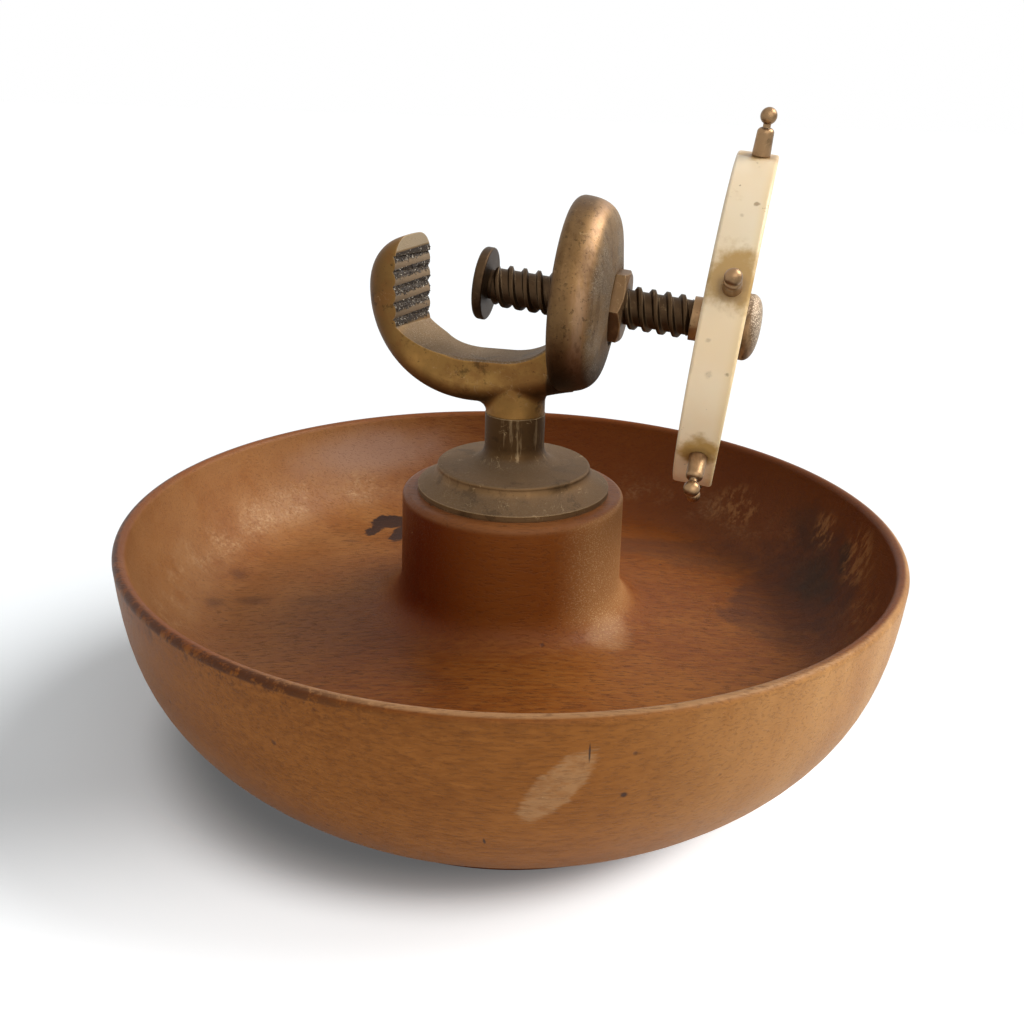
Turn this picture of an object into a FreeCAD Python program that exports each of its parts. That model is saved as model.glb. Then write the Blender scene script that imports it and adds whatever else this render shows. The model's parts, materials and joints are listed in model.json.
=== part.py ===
import FreeCAD, Part
import math
import os
import re
import Sketcher

# Screw nut cracker: a turned wooden bowl with a central post, a brass pedestal and C-shaped jaw frame,
# and a two-start screw turned by a ship's-wheel handle. Millimetres, +Z up. The origin is the centre of
# the bowl's foot on the table, +X runs from the jaw towards the wheel. The screw leans down towards the
# wheel by axis_lean, and pieces on it are drawn along X from the point where its axis crosses the
# pedestal's axis, then placed there.

V = FreeCAD.Vector
doc = FreeCAD.newDocument("nut_cracker")
sheet = doc.addObject("Spreadsheet::Sheet", "sizes")

DRIVING = [
    # bowl, turned with its post in one piece of wood
    ("bowl_radius", 125), ("bowl_height", 79), ("lip_wall", 4),
    ("foot_radius", 80), ("foot_band", 2.4), ("foot_ring", 10), ("foot_recess", 1.5),
    ("belly_reach", 40), ("belly_rise", 25.5), ("belly_upright", 28.5), ("belly_lean", 1.4),
    ("floor_level", 44.5), ("floor_margin", 12), ("floor_rise", 3), ("inner_reach", 16), ("inner_upright", 18),
    ("post_height", 88), ("post_radius", 36.1), ("post_edge", 2), ("post_swell", 0.5),
    ("post_straight", 28), ("post_foot_radius", 49), ("cove_reach", 8), ("cove_upright", 7.5),
    # brass pedestal
    ("plate_radius", 31.1), ("plate_edge", 1.9), ("step_radius", 24.8), ("step_level", 7.6),
    ("step_edge", 1.3), ("step_round", 0.9), ("neck_cove", 6), ("neck_radius", 9.6), ("neck_height", 25.7),
    # tie rod through post and pedestal
    ("rod_radius", 3), ("rod_play", 0.4), ("rod_bevel", 0.5), ("washer_radius", 10), ("washer_thick", 1.5),
    ("nut_flats", 10), ("nut_thick", 5), ("pocket_radius", 12), ("spigot_radius", 7), ("spigot_length", 12),
    ("rod_in_spigot", 9),
    # screw axis, where it crosses the pedestal's axis above the neck
    ("axis_rise", 39), ("axis_lean", 5.5), ("fit_gap", 0.05),
    # arm and stem of the jaw frame, with levels above the neck
    ("arm_width", 19), ("arm_round", 6.5), ("arm_edge", 1), ("arm_under", 3.6), ("arm_top", 18.1),
    ("arm_back", -46.8), ("arm_back_level", 37.3), ("tip_level", 54.1), ("jaw_face", -29.2),
    ("heel_level", 28.3), ("bend_start", -12), ("hollow_start", -12), ("hollow_end", -3),
    ("crook_level", 27.3), ("web_start", -6), ("web_end", 19), ("web_rise", 5.55),
    ("stem_radius", 9.4), ("stem_fillet", 3.5),
    # jaw teeth, on a plane turned outwards
    ("teeth_face", -34), ("teeth_turn", 14.7), ("teeth_top", 47.7), ("teeth_count", 4),
    ("tooth_pitch", 4.77), ("tooth_radius", 4), ("heel_reach", 22), ("heel_bend", 3.6), ("heel_lift", 0.4),
    # eye of the jaw frame
    ("eye_lean", 3.4), ("eye_rise", 0.4), ("eye_radius", 29.2), ("eye_inner", 14.6), ("eye_round", 3),
    ("eye_crown", 28.5), ("crown_drop", 8.2), ("eye_boss", 30), ("boss_radius", 13), ("eye_seat", 29.5),
    ("spot_radius", 12.2),
    # threaded bush in the eye
    ("bush_radius", 9), ("bush_sink", 0.3), ("hex_flats", 20), ("hex_thick", 4), ("hex_bevel", 1.1),
    ("hex_ridge", 0.4),
    # two-start screw
    ("crest_radius", 6.4), ("root_radius", 5.2), ("thread_pitch", 4.4), ("thread_starts", 2),
    ("crest_flat", 1.0), ("crest_base", 2.3), ("first_crest", 0.1), ("thread_play", 0.1), ("thread_spill", 0.3),
    ("thread_begin", -7.6), ("thread_bevel", 1.2), ("thread_relief", 0.2), ("end_neck_radius", 4.4),
    # presser foot and its retaining screw
    ("foot_face", -12.2), ("foot_thick", 3.2), ("presser_radius", 11), ("presser_round", 1.2),
    ("presser_back_round", 0.6), ("pin_radius", 2.5), ("pin_head_radius", 4), ("pin_head_thick", 1.2),
    ("pin_depth", 8), ("pin_slot", 1),
    # wheel
    ("wheel_inner", 57.3), ("wheel_width", 11.4), ("wheel_radius", 48.2), ("rim_thick", 10),
    ("rim_round", 0.8), ("hub_radius", 11), ("nose_length", 4.1), ("nose_radius", 6.5),
    ("shank_side", 6.6), ("stud_radius", 3), ("stud_length", 3.6),
    ("cap_radius", 9.75), ("cap_wall", 1.3), ("cap_height", 4.8), ("stud_room", 0.3),
    ("spoke_count", 6), ("spoke_phase", 8.4), ("spoke_radius", 2.1), ("spoke_root", 7),
    ("spoke_shift", 0.8),
    ("knob_base", 2.55), ("knob_shoulder", 2.3), ("knob_length", 7.4), ("knob_round", 1.25),
    ("knob_neck", 1.05), ("ball_radius", 2.25), ("ball_reach", 10.4),
]

DERIVED = [
    ("lip_start", "bowl_height - lip_wall / 2"),
    ("floor_radius", "foot_radius + floor_margin"),
    ("floor_slope", "floor_rise / (floor_radius - post_foot_radius)"),
    ("pedestal_top", "post_height + neck_height"),
    ("axis_height", "pedestal_top + axis_rise"),
    ("pocket_level", "foot_recess + nut_thick + washer_thick + 0.5"),
    ("foot_back", "foot_face + foot_thick"),
    ("wheel_outer", "wheel_inner + wheel_width"),
    ("spoke_plane", "wheel_inner + wheel_width / 2 + spoke_shift"),
    ("nose_face", "wheel_inner - nose_length"),
    ("thread_end", "nose_face - thread_relief"),
    ("hex_face", "eye_seat + hex_thick"),
    ("thread_lead", "thread_pitch * thread_starts"),
    ("thread_flare", "thread_spill * (crest_base - crest_flat) / (crest_radius - root_radius)"),
    ("crest_phase", "thread_begin + first_crest"),
    ("bush_inner", "eye_inner + bush_sink"),
    ("tooth_depth", "tooth_radius - sqrt(tooth_radius ^ 2 - tooth_pitch ^ 2 / 4)"),
    ("teeth_bottom", "teeth_top - tooth_pitch * teeth_count"),
]

NAMES = [name for name, _ in DRIVING + DERIVED]
WORD = re.compile(r"\b(" + "|".join(sorted(NAMES, key=len, reverse=True)) + r")\b")


def fill_sheet():
    """One row for each size: its name, then its value under the same alias."""
    for row, (name, value) in enumerate(DRIVING + DERIVED, 1):
        sheet.set(f"A{row}", name)
        sheet.set(f"B{row}", f"={value}" if isinstance(value, str) else str(value))
        sheet.setAlias(f"B{row}", name)
    doc.recompute()


def cell(formula):
    """A formula in the sheet's names as an expression other objects can use."""
    return WORD.sub(r"sizes.\1", str(formula))


def size(formula):
    """The present value of a formula in the sheet's names."""
    value = sheet.evalExpression(cell(formula))
    return float(getattr(value, "Value", value))


def bind(thing, prop, formula):
    """Ties a property to a formula and gives it that value at once."""
    thing.setExpression(prop, cell(formula))


def new_body(name):
    body = doc.addObject("PartDesign::Body", name)
    body.Label = name
    return body


def place_on_axis(body, turn="0"):
    """Sets a body drawn along X on the screw's axis, turned about that axis."""
    bind(body, "Placement",
         "placement(vector(0; 0; axis_height); rotation(vector(0; 1; 0); axis_lean))"
         f" * placement(vector(0; 0; 0); rotation(vector(1; 0; 0); {turn}))")


def add_sketch(body, name, plane, **offset):
    """A sketch on one of the body's own origin planes, with offsets given as formulas."""
    sketch = body.newObject("Sketcher::SketchObject", name)
    planes = [item for item in body.Origin.OriginFeatures if item.Role == plane]
    sketch.AttachmentSupport = [(planes[0], "")]
    sketch.MapMode = "FlatFace"
    for prop, formula in offset.items():
        bind(sketch, "AttachmentOffset." + prop.replace("_", "."), formula)
    return sketch


def pin_point(sketch, geometry, place, x, y):
    """Holds one end or centre of a sketch element at a place given by two formulas."""
    for kind, formula in (("DistanceX", x), ("DistanceY", y)):
        index = sketch.addConstraint(
            Sketcher.Constraint(kind, -1, 1, geometry, place, size(formula)))
        sketch.setExpression(f"Constraints[{index}]", cell(formula))


def arc_between(start, end, radius, bend):
    """The short arc from start to end, bending left (+1) or right (-1), and whether it runs backwards."""
    chord = end - start
    half = chord.Length / 2
    rise = math.sqrt(max(radius * radius - half * half, 0))
    side = V(-chord.y, chord.x, 0).normalize() * rise * bend
    centre = (start + end) / 2 + side
    circle = Part.Circle(centre, V(0, 0, 1), radius)
    first, last = (start, end) if bend > 0 else (end, start)
    low = math.atan2(first.y - centre.y, first.x - centre.x)
    high = math.atan2(last.y - centre.y, last.x - centre.x)
    return Part.ArcOfCircle(circle, low, high), bend < 0


def outline(sketch, *steps):
    """A closed outline. A step is a corner (x, y), an arc to one (x, y, "left" or "right", radius), or a
    smooth curve to one with its two handles (x, y, "curve", x1, y1, x2, y2). All are formulas."""
    corners = [V(size(step[0]), size(step[1]), 0) for step in steps]
    ends = []
    for index, step in enumerate(steps):
        start, end = corners[index - 1], corners[index]
        kind = step[2] if len(step) > 2 else "line"
        backwards = False
        if kind == "line":
            element = sketch.addGeometry(Part.LineSegment(start, end))
        elif kind == "curve":
            handles = [V(size(step[3]), size(step[4]), 0), V(size(step[5]), size(step[6]), 0)]
            curve = Part.BezierCurve()
            curve.setPoles([start] + handles + [end])
            element = sketch.addGeometry(curve.toBSpline())
            sketch.exposeInternalGeometry(element)
            pin_point(sketch, element + 2, 3, step[3], step[4])
            pin_point(sketch, element + 3, 3, step[5], step[6])
        else:
            arc, backwards = arc_between(start, end, size(step[3]), 1 if kind == "left" else -1)
            element = sketch.addGeometry(arc)
            index_radius = sketch.addConstraint(
                Sketcher.Constraint("Radius", element, size(step[3])))
            sketch.setExpression(f"Constraints[{index_radius}]", cell(step[3]))
        ends.append((element, 2, 1) if backwards else (element, 1, 2))
        pin_point(sketch, element, ends[-1][2], step[0], step[1])
    for index, (element, first, _) in enumerate(ends):
        before, _, last = ends[index - 1]
        sketch.addConstraint(Sketcher.Constraint("Coincident", before, last, element, first))
    return sketch


def circle(sketch, x, y, radius):
    element = sketch.addGeometry(Part.Circle(V(size(x), size(y), 0), V(0, 0, 1), size(radius)))
    pin_point(sketch, element, 3, x, y)
    index = sketch.addConstraint(Sketcher.Constraint("Radius", element, size(radius)))
    sketch.setExpression(f"Constraints[{index}]", cell(radius))
    return sketch


def polygon(sketch, sides, flats, turn="0"):
    """A regular polygon round the sketch's origin, with its first flat facing the angle turn, in degrees."""
    reach = f"({flats}) / 2 / cos(180 deg / {sides})"
    corners = []
    for index in range(sides):
        angle = f"({turn} + 180 * {2 * index + 1} / {sides}) * 1 deg"
        corners.append((f"{reach} * cos({angle})", f"{reach} * sin({angle})"))
    return outline(sketch, *corners)


def turned(body, sketch, axis, kind="Revolution"):
    """A full turn of a sketch about one of its axes, added or cut away."""
    feature = body.newObject("PartDesign::" + kind, sketch.Name + "_turned")
    feature.Profile = (sketch, [""])
    feature.ReferenceAxis = (sketch, [axis])
    feature.Angle = 360
    return feature


def extruded(body, sketch, length, kind="Pad", midplane=False, reverse=False):
    feature = body.newObject("PartDesign::" + kind, sketch.Name + "_extruded")
    feature.Profile = (sketch, [""])
    bind(feature, "Length", length)
    feature.Midplane = midplane
    feature.Reversed = reverse
    return feature


def patterned(body, feature, axis_role, count):
    """Repeats a feature evenly round one of the body's own axes."""
    doc.recompute()
    pattern = body.newObject("PartDesign::PolarPattern", feature.Name + "_repeated")
    pattern.Originals = [feature]
    axes = [item for item in body.Origin.OriginFeatures if item.Role == axis_role]
    pattern.Axis = (axes[0], [""])
    pattern.Angle = 360
    bind(pattern, "Occurrences", count)
    body.Tip = pattern
    return pattern


def rounded(body, name, radius, picks):
    """A fillet on every edge of the body's present shape that picks accepts."""
    doc.recompute()
    base = body.Tip
    edges = [f"Edge{index}" for index, edge in enumerate(base.Shape.Edges, 1) if picks(edge)]
    feature = body.newObject("PartDesign::Fillet", name)
    feature.Base = (base, edges)
    bind(feature, "Radius", radius)
    doc.recompute()
    return feature


def joining(*corners):
    """Picks the edges that run in the XZ plane's direction between two of these corners above the neck."""
    places = [(size(x), size(f"pedestal_top + {y}")) for x, y in corners]

    def picks(edge):
        first, last = edge.valueAt(edge.FirstParameter), edge.valueAt(edge.LastParameter)
        met = [any(abs(end.x - x) + abs(end.z - z) < 0.01 for x, z in places) for end in (first, last)]
        return all(met) and abs(first.y - last.y) < 0.01

    return picks


def make_bowl():
    """Bowl, foot and central post, turned in one piece, with the tie rod's hole and its pocket."""
    body = new_body("bowl")
    inner_lip = "bowl_radius - lip_wall"
    post_waist = "post_height - post_straight"
    post_side = "post_radius + post_swell"
    profile = outline(
        add_sketch(body, "bowl_profile", "XZ_Plane"),
        ("0", "foot_recess"),
        ("foot_radius - foot_ring", "foot_recess"),
        ("foot_radius - foot_ring", "0"),
        ("foot_radius", "0"),
        ("foot_radius", "foot_band"),
        ("bowl_radius", "lip_start", "curve", "foot_radius + belly_reach", "foot_band + belly_rise",
         "bowl_radius - belly_lean", "lip_start - belly_upright"),
        ("bowl_radius - lip_wall / 2", "bowl_height", "left", "lip_wall / 2"),
        (inner_lip, "lip_start", "left", "lip_wall / 2"),
        ("floor_radius", "floor_level", "curve", inner_lip + " - 2 * belly_lean", "lip_start - inner_upright",
         "floor_radius + inner_reach", "floor_level - inner_reach * floor_slope"),
        ("post_foot_radius", "floor_level + floor_rise"),
        (post_side, post_waist, "curve", "post_foot_radius - cove_reach",
         "floor_level + floor_rise + cove_reach * floor_slope", post_side, post_waist + " - cove_upright"),
        ("post_radius", "post_height - post_edge"),
        ("post_radius - post_edge", "post_height", "left", "post_edge"),
        ("0", "post_height"))
    turned(body, profile, "V_Axis")
    shaft = outline(
        add_sketch(body, "rod_passage", "XZ_Plane"),
        ("0", "-1"), ("pocket_radius", "-1"), ("pocket_radius", "pocket_level"),
        ("rod_radius + rod_play", "pocket_level"), ("rod_radius + rod_play", "post_height + 1"),
        ("0", "post_height + 1"))
    turned(body, shaft, "V_Axis", "Groove")
    return body


def make_pedestal():
    """Two-step plate sweeping up into the neck, bored for the jaw frame's spigot and the tie rod."""
    body = new_body("pedestal")
    step = "post_height + step_level"
    edge = "post_height + plate_edge"
    neck = "neck_radius"
    spigot_floor = "pedestal_top - spigot_length"
    profile = outline(
        add_sketch(body, "pedestal_profile", "XZ_Plane"),
        ("rod_radius + rod_play", "post_height"),
        ("plate_radius", "post_height"),
        ("plate_radius", edge),
        ("step_radius", step, "curve", "plate_radius - 2.4", edge + " + 1.2",
         "step_radius + 0.6", step + " - 3"),
        ("step_radius", step + " + step_edge - step_round"),
        ("step_radius - step_round", step + " + step_edge", "left", "step_round"),
        (neck + " + neck_cove", step + " + step_edge + 0.5"),
        (neck, step + " + step_edge + 0.5 + neck_cove", "right", "neck_cove"),
        (neck, "pedestal_top"),
        ("spigot_radius + fit_gap", "pedestal_top"),
        ("spigot_radius + fit_gap", spigot_floor),
        ("rod_radius + rod_play", spigot_floor))
    turned(body, profile, "V_Axis")
    return body


def make_tie_rod():
    """Rod that clamps frame, pedestal and bowl together, tapped into the frame's spigot."""
    body = new_body("tie_rod")
    profile = add_sketch(body, "rod_profile", "XZ_Plane")
    top = "pedestal_top - spigot_length + rod_in_spigot"
    outline(profile, ("0", "foot_recess"), ("rod_radius - rod_bevel", "foot_recess"),
            ("rod_radius", "foot_recess + rod_bevel"), ("rod_radius", top + " - rod_bevel"),
            ("rod_radius - rod_bevel", top), ("0", top))
    turned(body, profile, "V_Axis")

    washer = new_body("tie_rod_washer")
    ring = add_sketch(washer, "washer_ring", "XY_Plane", Base_z="pocket_level - washer_thick")
    circle(circle(ring, "0", "0", "washer_radius"), "0", "0", "rod_radius + rod_play / 2")
    extruded(washer, ring, "washer_thick")

    nut = new_body("tie_rod_nut")
    hexagon = add_sketch(nut, "nut_hexagon", "XY_Plane", Base_z="pocket_level - washer_thick - nut_thick")
    circle(polygon(hexagon, 6, "nut_flats"), "0", "0", "rod_radius + fit_gap")
    extruded(nut, hexagon, "nut_thick")
    return [body, washer, nut]


def make_jaw_frame():
    """Cast C-arm with its serrated jaw, the round eye that carries the bush, and the stem."""
    body = new_body("jaw_frame")
    profile = outline(
        add_sketch(body, "arm_profile", "XZ_Plane", Base_y="pedestal_top"),
        ("web_end", "crook_level"),
        ("eye_inner", "crook_level"),
        ("hollow_end", "arm_top", "curve", "eye_inner - 3.7", "arm_top + 3.1", "hollow_end + 7", "arm_top"),
        ("hollow_start", "arm_top"),
        ("jaw_face", "heel_level", "curve", "hollow_start - 11.4", "arm_top",
         "jaw_face + 1.9", "heel_level - 5.5"),
        ("jaw_face", "tip_level"),
        ("arm_back", "arm_back_level", "curve", "arm_back + 5.3", "tip_level",
         "arm_back", "arm_back_level + 9.3"),
        ("bend_start", "arm_under", "curve", "arm_back", "arm_back_level - 17.9", "arm_back + 13.4", "arm_under"),
        ("web_start", "arm_under"),
        ("web_end", "arm_under + web_rise", "curve", "web_start + 8", "arm_under",
         "web_end - 10.5", "arm_under + 0.65 * web_rise"))
    extruded(body, profile, "arm_width", midplane=True)
    rounded(body, "arm_outer_round", "arm_round", joining(
        ("jaw_face", "tip_level"), ("arm_back", "arm_back_level"), ("bend_start", "arm_under"),
        ("web_start", "arm_under"), ("web_end", "arm_under + web_rise")))
    rounded(body, "arm_inner_round", "arm_edge", joining(
        ("eye_inner", "crook_level"), ("hollow_end", "arm_top"), ("hollow_start", "arm_top"),
        ("jaw_face", "heel_level")))

    stem = outline(
        add_sketch(body, "stem_profile", "XZ_Plane", Base_y="pedestal_top"),
        ("0", "-spigot_length"), ("spigot_radius", "-spigot_length"), ("spigot_radius", "0"),
        ("stem_radius", "0"), ("stem_radius", "arm_top - arm_edge"), ("0", "arm_top - arm_edge"))
    turned(body, stem, "V_Axis")
    side = size("stem_radius")

    def round_the_stem(edge):
        ends = [edge.valueAt(edge.FirstParameter), edge.valueAt(edge.LastParameter)]
        low = all(size("pedestal_top") + 1 < end.z < size("pedestal_top + arm_top - 1") for end in ends)
        return low and all(abs(math.hypot(end.x, end.y) - side) < 0.01 for end in ends)

    rounded(body, "stem_round", "stem_fillet", round_the_stem)

    eye = outline(
        add_sketch(body, "eye_profile", "XZ_Plane", Base_y="axis_height + eye_rise", Rotation_Angle="-eye_lean"),
        ("eye_inner", "0"),
        ("eye_inner", "eye_radius - eye_round"),
        ("eye_inner + eye_round", "eye_radius", "right", "eye_round"),
        ("eye_crown", "eye_radius - crown_drop", "curve", "eye_crown - 3.4", "eye_radius - 0.3",
         "eye_crown - 0.7", "eye_radius - crown_drop + 4.9"),
        ("eye_boss", "boss_radius"),
        ("eye_boss", "0"))
    turned(body, eye, "H_Axis")
    bore = outline(
        add_sketch(body, "eye_bore", "XZ_Plane", Base_y="axis_height", Rotation_Angle="-axis_lean"),
        ("eye_inner - 5", "0"), ("eye_inner - 5", "bush_radius + fit_gap"),
        ("eye_seat", "bush_radius + fit_gap"), ("eye_seat", "spot_radius"),
        ("eye_seat + 5", "spot_radius"), ("eye_seat + 5", "0"))
    turned(body, bore, "H_Axis", "Groove")

    tapped = outline(
        add_sketch(body, "rod_thread", "XZ_Plane", Base_y="pedestal_top - spigot_length"),
        ("0", "-1"), ("rod_radius + fit_gap", "-1"),
        ("rod_radius + fit_gap", "rod_in_spigot + 1"), ("0", "rod_in_spigot + 1"))
    turned(body, tapped, "V_Axis", "Groove")

    steps = [("heel_reach", "tip_level + 1"), ("0", "tip_level + 1"), ("0", "teeth_top"), ("-tooth_depth", "teeth_top")]
    for tooth in range(int(size("teeth_count"))):
        steps.append(("-tooth_depth", f"teeth_top - tooth_pitch * {tooth + 1}", "right", "tooth_radius"))
    steps.append(("0", "teeth_bottom - tooth_pitch / 2", "right", "tooth_radius"))
    steps.append(("heel_reach", "arm_top + heel_lift", "curve", "heel_bend", "teeth_bottom - tooth_pitch / 2 - heel_bend",
                  "heel_reach / 2", "arm_top"))
    teeth = outline(
        add_sketch(body, "jaw_teeth", "XZ_Plane", Base_x="teeth_face", Base_y="pedestal_top"), *steps)
    teeth.AttachmentOffset = FreeCAD.Placement(
        V(size("teeth_face"), size("pedestal_top"), 0), FreeCAD.Rotation(V(0, 1, 0), -size("teeth_turn")))
    bind(teeth, "AttachmentOffset.Rotation.Angle", "-teeth_turn")
    extruded(body, teeth, "3 * arm_width", "Pocket", midplane=True)
    return body


def thread_grooves(body, name, near_half, near, far_half, far, begin, end):
    """Helical grooves, one for each start, given by half their width at two radii."""
    for start in range(int(size("thread_starts"))):
        middle = f"({begin} + thread_pitch * {start})"
        groove = outline(
            add_sketch(body, f"{name}_{start + 1}", "XZ_Plane"),
            (f"{middle} - ({near_half})", near), (f"{middle} - ({far_half})", far),
            (f"{middle} + ({far_half})", far), (f"{middle} + ({near_half})", near))
        helix = body.newObject("PartDesign::SubtractiveHelix", f"{name}_helix_{start + 1}")
        helix.Profile = (groove, [""])
        helix.ReferenceAxis = (groove, ["H_Axis"])
        helix.Mode = "pitch-height-angle"
        helix.Refine = False
        bind(helix, "Pitch", "thread_lead")
        bind(helix, "Height", f"{end} - ({begin})")


def make_bush():
    """Flanged bush with six flats, seated in the eye and tapped through for the spindle."""
    body = new_body("threaded_bush")
    corner = "hex_flats / 2 / cos(30 deg)"
    sleeve = outline(
        add_sketch(body, "sleeve_profile", "XZ_Plane"),
        ("bush_inner", "root_radius + thread_play"), ("bush_inner", "bush_radius"),
        ("eye_seat", "bush_radius"), ("eye_seat", corner), ("hex_face - hex_bevel", corner),
        ("hex_face", "hex_flats / 2 - hex_ridge"), ("hex_face", "root_radius + thread_play"))
    turned(body, sleeve, "H_Axis")
    flats = add_sketch(body, "bush_flats", "YZ_Plane", Base_z="eye_seat")
    circle(polygon(flats, 6, "hex_flats", "30"), "0", "0", "2 * hex_flats")
    extruded(body, flats, "hex_thick", "Pocket", reverse=True)
    thread_grooves(
        body, "bush_thread",
        "(crest_base + thread_flare) / 2 + thread_play", "root_radius + thread_play - thread_spill",
        "crest_flat / 2 + thread_play", "crest_radius + thread_play",
        "crest_phase + thread_pitch * floor((bush_inner - thread_lead - crest_phase) / thread_pitch)",
        "hex_face + thread_lead / 2")
    place_on_axis(body)
    return body


def make_spindle():
    """Two-start screw with its neck at the jaw end and the square shank and stud for the wheel."""
    body = new_body("spindle")
    relief = "root_radius - 0.2"
    blank = outline(
        add_sketch(body, "spindle_profile", "XZ_Plane"),
        ("foot_back + fit_gap", "pin_radius"),
        ("foot_back + fit_gap", "end_neck_radius"),
        ("thread_begin", "end_neck_radius"),
        ("thread_begin", "root_radius"),
        ("thread_begin + thread_bevel", "crest_radius"),
        ("thread_end - thread_bevel", "crest_radius"),
        ("thread_end", "root_radius"),
        ("thread_end", relief),
        ("nose_face", relief),
        ("nose_face", "0"),
        ("foot_back + pin_depth", "0"),
        ("foot_back + pin_depth", "pin_radius"))
    turned(body, blank, "H_Axis")
    shank = add_sketch(body, "square_shank", "YZ_Plane", Base_z="nose_face")
    polygon(shank, 4, "shank_side")
    extruded(body, shank, "wheel_outer - nose_face")
    stud = add_sketch(body, "cap_stud", "YZ_Plane", Base_z="wheel_outer")
    circle(stud, "0", "0", "stud_radius")
    extruded(body, stud, "stud_length")
    thread_grooves(
        body, "screw_thread",
        "(thread_pitch - crest_base) / 2", "root_radius",
        "(thread_pitch - crest_flat + thread_flare) / 2", "crest_radius + thread_spill",
        "crest_phase + thread_pitch / 2 - thread_lead", "thread_end + thread_lead / 2")
    place_on_axis(body)
    return body


def make_presser():
    """Round foot that presses the nut, loose on the screw that holds it to the spindle."""
    foot = new_body("presser_foot")
    seat = "foot_face + pin_head_thick + fit_gap"
    disc = outline(
        add_sketch(foot, "foot_profile", "XZ_Plane"),
        ("foot_face", "pin_head_radius + fit_gap"),
        ("foot_face", "presser_radius - presser_round"),
        ("foot_face + presser_round", "presser_radius", "right", "presser_round"),
        ("foot_back - presser_back_round", "presser_radius"),
        ("foot_back", "presser_radius - presser_back_round", "right", "presser_back_round"),
        ("foot_back", "pin_radius + fit_gap"),
        (seat, "pin_radius + fit_gap"),
        (seat, "pin_head_radius + fit_gap"))
    turned(foot, disc, "H_Axis")
    place_on_axis(foot)

    pin = new_body("presser_screw")
    stem = outline(
        add_sketch(pin, "pin_profile", "XZ_Plane"),
        ("foot_face", "0"), ("foot_face", "pin_head_radius"),
        ("foot_face + pin_head_thick", "pin_head_radius"), ("foot_face + pin_head_thick", "pin_radius"),
        ("foot_back + pin_depth", "pin_radius"), ("foot_back + pin_depth", "0"))
    turned(pin, stem, "H_Axis")
    slot = outline(
        add_sketch(pin, "pin_slot", "XZ_Plane"),
        ("foot_face - 1", "-pin_slot / 2"), ("foot_face + pin_head_thick / 2", "-pin_slot / 2"),
        ("foot_face + pin_head_thick / 2", "pin_slot / 2"), ("foot_face - 1", "pin_slot / 2"))
    extruded(pin, slot, "3 * pin_head_radius", "Pocket", midplane=True)
    place_on_axis(pin)
    return [foot, pin]


def spoke_holes(body, name, start, length):
    """Evenly spaced radial holes for the spokes."""
    hole = add_sketch(body, name, "XY_Plane", Base_z=start)
    circle(hole, "spoke_plane", "0", "spoke_radius + fit_gap")
    cut = extruded(body, hole, length, "Pocket", reverse=True)
    patterned(body, cut, "X_Axis", "spoke_count")


def make_wheel():
    """Brass hub with its nose, and the pale rim that the spokes pass through."""
    hub = new_body("wheel_hub")
    profile = outline(
        add_sketch(hub, "hub_profile", "XZ_Plane"),
        ("nose_face", "0"), ("nose_face", "nose_radius"), ("wheel_inner", "nose_radius"),
        ("wheel_inner", "hub_radius"), ("wheel_outer", "hub_radius"), ("wheel_outer", "0"))
    turned(hub, profile, "H_Axis")
    shank = add_sketch(hub, "shank_hole", "YZ_Plane", Base_z="nose_face")
    polygon(shank, 4, "shank_side + 2 * fit_gap", "-spoke_phase")
    extruded(hub, shank, "wheel_outer - nose_face", "Pocket", reverse=True)
    spoke_holes(hub, "hub_spoke_hole", "spoke_root", "hub_radius")
    place_on_axis(hub, "spoke_phase")

    rim = new_body("wheel_rim")
    inside = "wheel_radius - rim_thick"
    ring = outline(
        add_sketch(rim, "rim_profile", "XZ_Plane"),
        ("wheel_inner", inside + " + rim_round", "right", "rim_round"),
        ("wheel_inner", "wheel_radius - rim_round"),
        ("wheel_inner + rim_round", "wheel_radius", "right", "rim_round"),
        ("wheel_outer - rim_round", "wheel_radius"),
        ("wheel_outer", "wheel_radius - rim_round", "right", "rim_round"),
        ("wheel_outer", inside + " + rim_round"),
        ("wheel_outer - rim_round", inside, "right", "rim_round"),
        ("wheel_inner + rim_round", inside))
    turned(rim, ring, "H_Axis")
    spoke_holes(rim, "rim_spoke_hole", inside + " - 2", "2 * rim_thick")
    place_on_axis(rim, "spoke_phase")
    return [hub, rim]


def make_spoke(number):
    """One spoke: a rod from the hub through the rim, ending in the turned finger knob."""
    body = new_body(f"spoke_{number}")
    shoulder = "wheel_radius + knob_length"
    ball = "wheel_radius + ball_reach"
    profile = outline(
        add_sketch(body, f"spoke_profile_{number}", "XZ_Plane", Base_x="spoke_plane"),
        ("0", "spoke_root"), ("spoke_radius", "spoke_root"), ("spoke_radius", "wheel_radius + fit_gap"),
        ("knob_base", "wheel_radius + fit_gap"), ("knob_shoulder", shoulder + " - knob_round"),
        ("knob_neck", shoulder, "left", "knob_round"),
        ("knob_neck", ball + " - sqrt(ball_radius ^ 2 - knob_neck ^ 2)"),
        ("ball_radius", ball, "left", "ball_radius"),
        ("0", ball + " + ball_radius", "left", "ball_radius"))
    turned(body, profile, "V_Axis")
    place_on_axis(body, f"spoke_phase + {number - 1} * 360 / spoke_count")
    return body


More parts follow.
